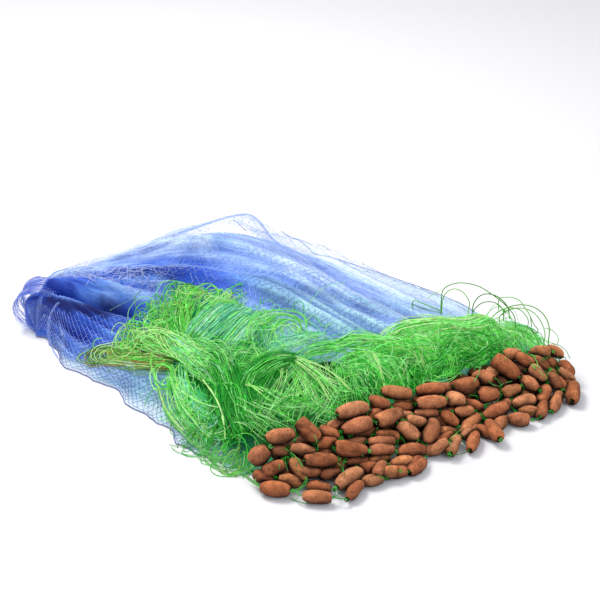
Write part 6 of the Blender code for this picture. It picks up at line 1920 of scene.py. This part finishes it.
# -- the line over and between the sinkers
bank_top = blurred(all_top, 1)
for k, rows in enumerate((
    ((500, 361, 2), (508, 358, 4), (518, 355, 5), (528, 354, 5), (537, 356, 4)),
    ((503, 352, 2), (514, 354, 4), (526, 360, 4), (536, 368, 3)),
    ((543, 361, 3), (548, 357, 5), (554, 356, 5), (559, 360, 5), (560, 367, 4), (558, 374, 3)),
    ((518, 346, 3), (524, 354, 4), (530, 364, 4), (540, 372, 3)),
    ((530, 352, 3), (536, 360, 4), (540, 370, 3), (544, 376, 3)),
    ((556, 358, 4), (553, 366, 4), (548, 374, 3), (546, 380, 2)),
    ((286, 449, 3), (293, 454, 4), (300, 462, 5), (305, 472, 5), (307, 480, 4), (304, 486, 3), (297, 491, 3), (290, 492, 2)),
    ((284, 456, 2), (286, 464, 3), (288, 472, 2), (292, 478, 1)),
    ((279, 464, 2), (280, 472, 2), (282, 478, 1)),
    ((329, 424, 2), (335, 429, 3), (340, 437, 4), (343, 444, 3)),
    ((311, 431, 3), (315, 437, 4), (318, 445, 3), (318, 450, 2)),
    ((268, 446, 3), (278, 448, 4), (287, 451, 4), (292, 458, 3)),
    ((337, 462, 3), (341, 466, 4), (344, 473, 3)),
    ((391, 438, 3), (395, 443, 3), (397, 449, 2)),
    ((362, 455, 2), (365, 460, 3), (366, 465, 2)),
    ((449, 440, 2), (455, 434, 3), (461, 429, 3)),
    ((474, 382, 3), (479, 372, 5), (481, 362, 4)),
    ((488, 381, 2), (494, 385, 4), (503, 386, 3)),
    ((498, 388, 3), (505, 383, 4), (512, 381, 3)),
    ((248, 480, 0.8), (254, 484, 0.8), (261, 489, 0.8)),
    ((290, 498, 0.8), (299, 502, 0.8), (308, 504, 0.8)),
)):
    rows = [(u, v, lift + (5.0 if k < 6 else 3.0 if k < 20 else 0.0)) for u, v, lift in rows]
    laid_arc(front_strands, rows, (srgb(96, 190, 84), srgb(124, 206, 108), srgb(64, 158, 66))[k % 3], copies=1 + (k in (0, 1, 2, 6, 11)), thick=1.1, spread=1.2, seed=500 + k, ground=bank_top, points=22)
made_edge = np.random.default_rng(78)
EDGE_U = (262, 290, 310, 335, 352, 380, 415, 450, 480, 495, 530, 552)
EDGE_V = (436, 426, 418, 408, 402, 388, 384, 378, 366, 354, 348, 346)
for k in range(120):
    u0 = made_edge.uniform(444, 500) if k % 2 else made_edge.uniform(268, 540)
    run = made_edge.normal(4, 9)
    v0 = np.interp(u0, EDGE_U, EDGE_V) - made_edge.uniform(8, 20)
    v1 = np.interp(u0 + run, EDGE_U, EDGE_V) + made_edge.uniform(-4, 3)
    bend = made_edge.normal(0, 3.0)
    rows = ((u0, v0, 2), (u0 + run * 0.35 + bend, v0 * 0.65 + v1 * 0.35, 5), (u0 + run * 0.75 + bend, v0 * 0.25 + v1 * 0.75, 5), (u0 + run, v1, 3))
    laid_arc(lattice_strands, rows, colours(made_edge, {"bright": 5, "mid": 4, "pale": 2, "dark": 1}, 1)[0], thick=made_edge.uniform(0.9, 1.2), seed=700 + k, ground=bank_top, points=12)
for k in range(56):
    u0 = made_edge.uniform(440, 492)
    wide, drop = made_edge.uniform(12, 34), made_edge.uniform(1, 12)
    t = np.linspace(-0.5, 0.5, 5)
    u = u0 + wide * t
    v = np.interp(u, EDGE_U, EDGE_V) - drop - 4 * (1 - (2 * t) ** 2) * made_edge.normal()
    laid_arc(lattice_strands, np.stack((u, v, 3 + 3 * np.cos(3 * t)), -1), colours(made_edge, {"bright": 4, "mid": 4, "pale": 2, "dark": 2}, 1)[0], thick=1.1, seed=900 + k, ground=bank_top, points=12)
made_bits = np.random.default_rng(77)
bits = Threads()
shown_ends = [(k, sign) for k in range(len(bead_place)) if bead_shown[k] for sign in (-1, 1)]
tips = np.array([bead_place[k] + sign * bead_way[k] * bead_size[k, 0] * 0.46 for k, sign in shown_ends])
outs = np.array([sign * bead_way[k] for k, sign in shown_ends])
owner = np.array([k for k, _ in shown_ends])
# painted shade: the strands between the sinkers are darkened, as they lie in the shade between them
for i in range(len(tips)):
    gap = np.linalg.norm(tips - tips[i], axis=1) + 9.0 * (owner == owner[i])
    t = np.linspace(0, 1, 13)[:, None]
    for j in np.argsort(gap)[: made_bits.integers(1, 3)]:
        reach = min(max(gap[j] * 0.7, 0.005), 0.010) if gap[j] < 0.030 else 0.006
        a, b = tips[i], tips[j] if gap[j] < 0.030 else tips[i] + outs[i] * 0.010 + made_bits.normal(0, 0.004, 3)
        c1, c2 = a + outs[i] * reach, b + (outs[j] if gap[j] < 0.030 else 0) * reach + made_bits.normal(0, 0.002, 3)
        path = (1 - t) ** 3 * a + 3 * t * (1 - t) ** 2 * c1 + 3 * t**2 * (1 - t) * c2 + t**3 * b
        path[:, 2] = np.maximum(path[:, 2] + 0.002 * np.sin(np.pi * t[:, 0]), 0.0012)
        bits.add(path, 0.55 * MM, colours(made_bits, {"mid": 4, "bright": 3, "dark": 4}, 1)[0] * made_bits.uniform(0.45, 0.80))
    if made_bits.random() < 0.6:
        centre, size = tips[i] + outs[i] * 0.004, made_bits.uniform(0.0012, 0.0024)
        one = np.cross(outs[i], made_bits.normal(size=3))
        one /= np.linalg.norm(one)
        two = np.cross(outs[i], one)
        turn = np.linspace(0, 2 * np.pi * 1.6, 15)
        path = centre + size * (np.cos(turn)[:, None] * one + np.sin(turn)[:, None] * two) + outs[i] * np.linspace(-0.0012, 0.0016, 15)[:, None]
        path[:, 2] = np.maximum(path[:, 2], 0.0012)
        bits.add(path, 0.60 * MM, colours(made_bits, {"mid": 4, "bright": 3, "dark": 4}, 1)[0] * made_bits.uniform(0.45, 0.80))


def bed_material():
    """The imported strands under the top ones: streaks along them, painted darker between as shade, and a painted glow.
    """
    made, tree, bsdf = shader("line_packed_strands")
    tint = tint_of(tree)
    where = node(tree, "ShaderNodeAttribute", attribute_name="fan")
    stretch = node(tree, "ShaderNodeMapping")
    stretch.inputs["Scale"].default_value = (34.0, 900.0, 1.0)
    tree.links.new(where.outputs["Vector"], stretch.inputs["Vector"])
    streak = node(tree, "ShaderNodeTexNoise", in_Scale=1.0, in_Detail=3.0, in_Roughness=0.6)
    tree.links.new(stretch.outputs[0], streak.inputs["Vector"])
    ramp = node(tree, "ShaderNodeValToRGB")
    ramp.color_ramp.elements[0].position, ramp.color_ramp.elements[0].color = 0.36, (0.30, 0.52, 0.34, 1)
    ramp.color_ramp.elements[1].position, ramp.color_ramp.elements[1].color = 0.66, (1.70, 1.25, 1.55, 1)
    tree.links.new(streak.outputs["Fac"], ramp.inputs["Fac"])
    tree.links.new(mix_colour(tree, 1.0, tint.outputs["Color"], ramp.outputs["Color"], "MULTIPLY"), bsdf.inputs["Base Color"])
    bsdf.inputs["Roughness"].default_value = 0.5
    bsdf.inputs["Specular IOR Level"].default_value = 0.3
    tree.links.new(mix_colour(tree, 1.0, tint.outputs["Color"], ramp.outputs["Color"], "MULTIPLY"), bsdf.inputs["Emission Color"])
    bsdf.inputs["Emission Strength"].default_value = LINE_PAINTED_GLOW * 0.7
    bump = node(tree, "ShaderNodeBump", in_Strength=0.8, in_Distance=0.0012)
    tree.links.new(streak.outputs["Fac"], bump.inputs["Height"])
    tree.links.new(bump.outputs[0], bsdf.inputs["Normal"])
    return made


packed = mesh_object("line_packed", np.concatenate(bed["points"]), np.concatenate(bed["quads"]), tint=np.concatenate(bed["tint"]), fan=np.concatenate(bed["fan"]), material=bed_material())
left_line = piece(left_strands.build("line_loops_left", line_thread), "line", "line_hank_left")
front_line = piece(front_strands.build("line_loops_front", line_thread), "line", "line_hank_front")
right_line = piece(right_strands.build("line_loops_right", line_thread), "line", "line_hank_right")
lattice_line = piece(lattice_strands.build("line_loops_over_bank", line_thread), "line")
piece(bits.build("line_between_sinkers", line_thread), "line")
piece(packed, "line")
print("triangles", sum(made_triangles.values()), {k: v for k, v in made_triangles.items() if v > 8000})
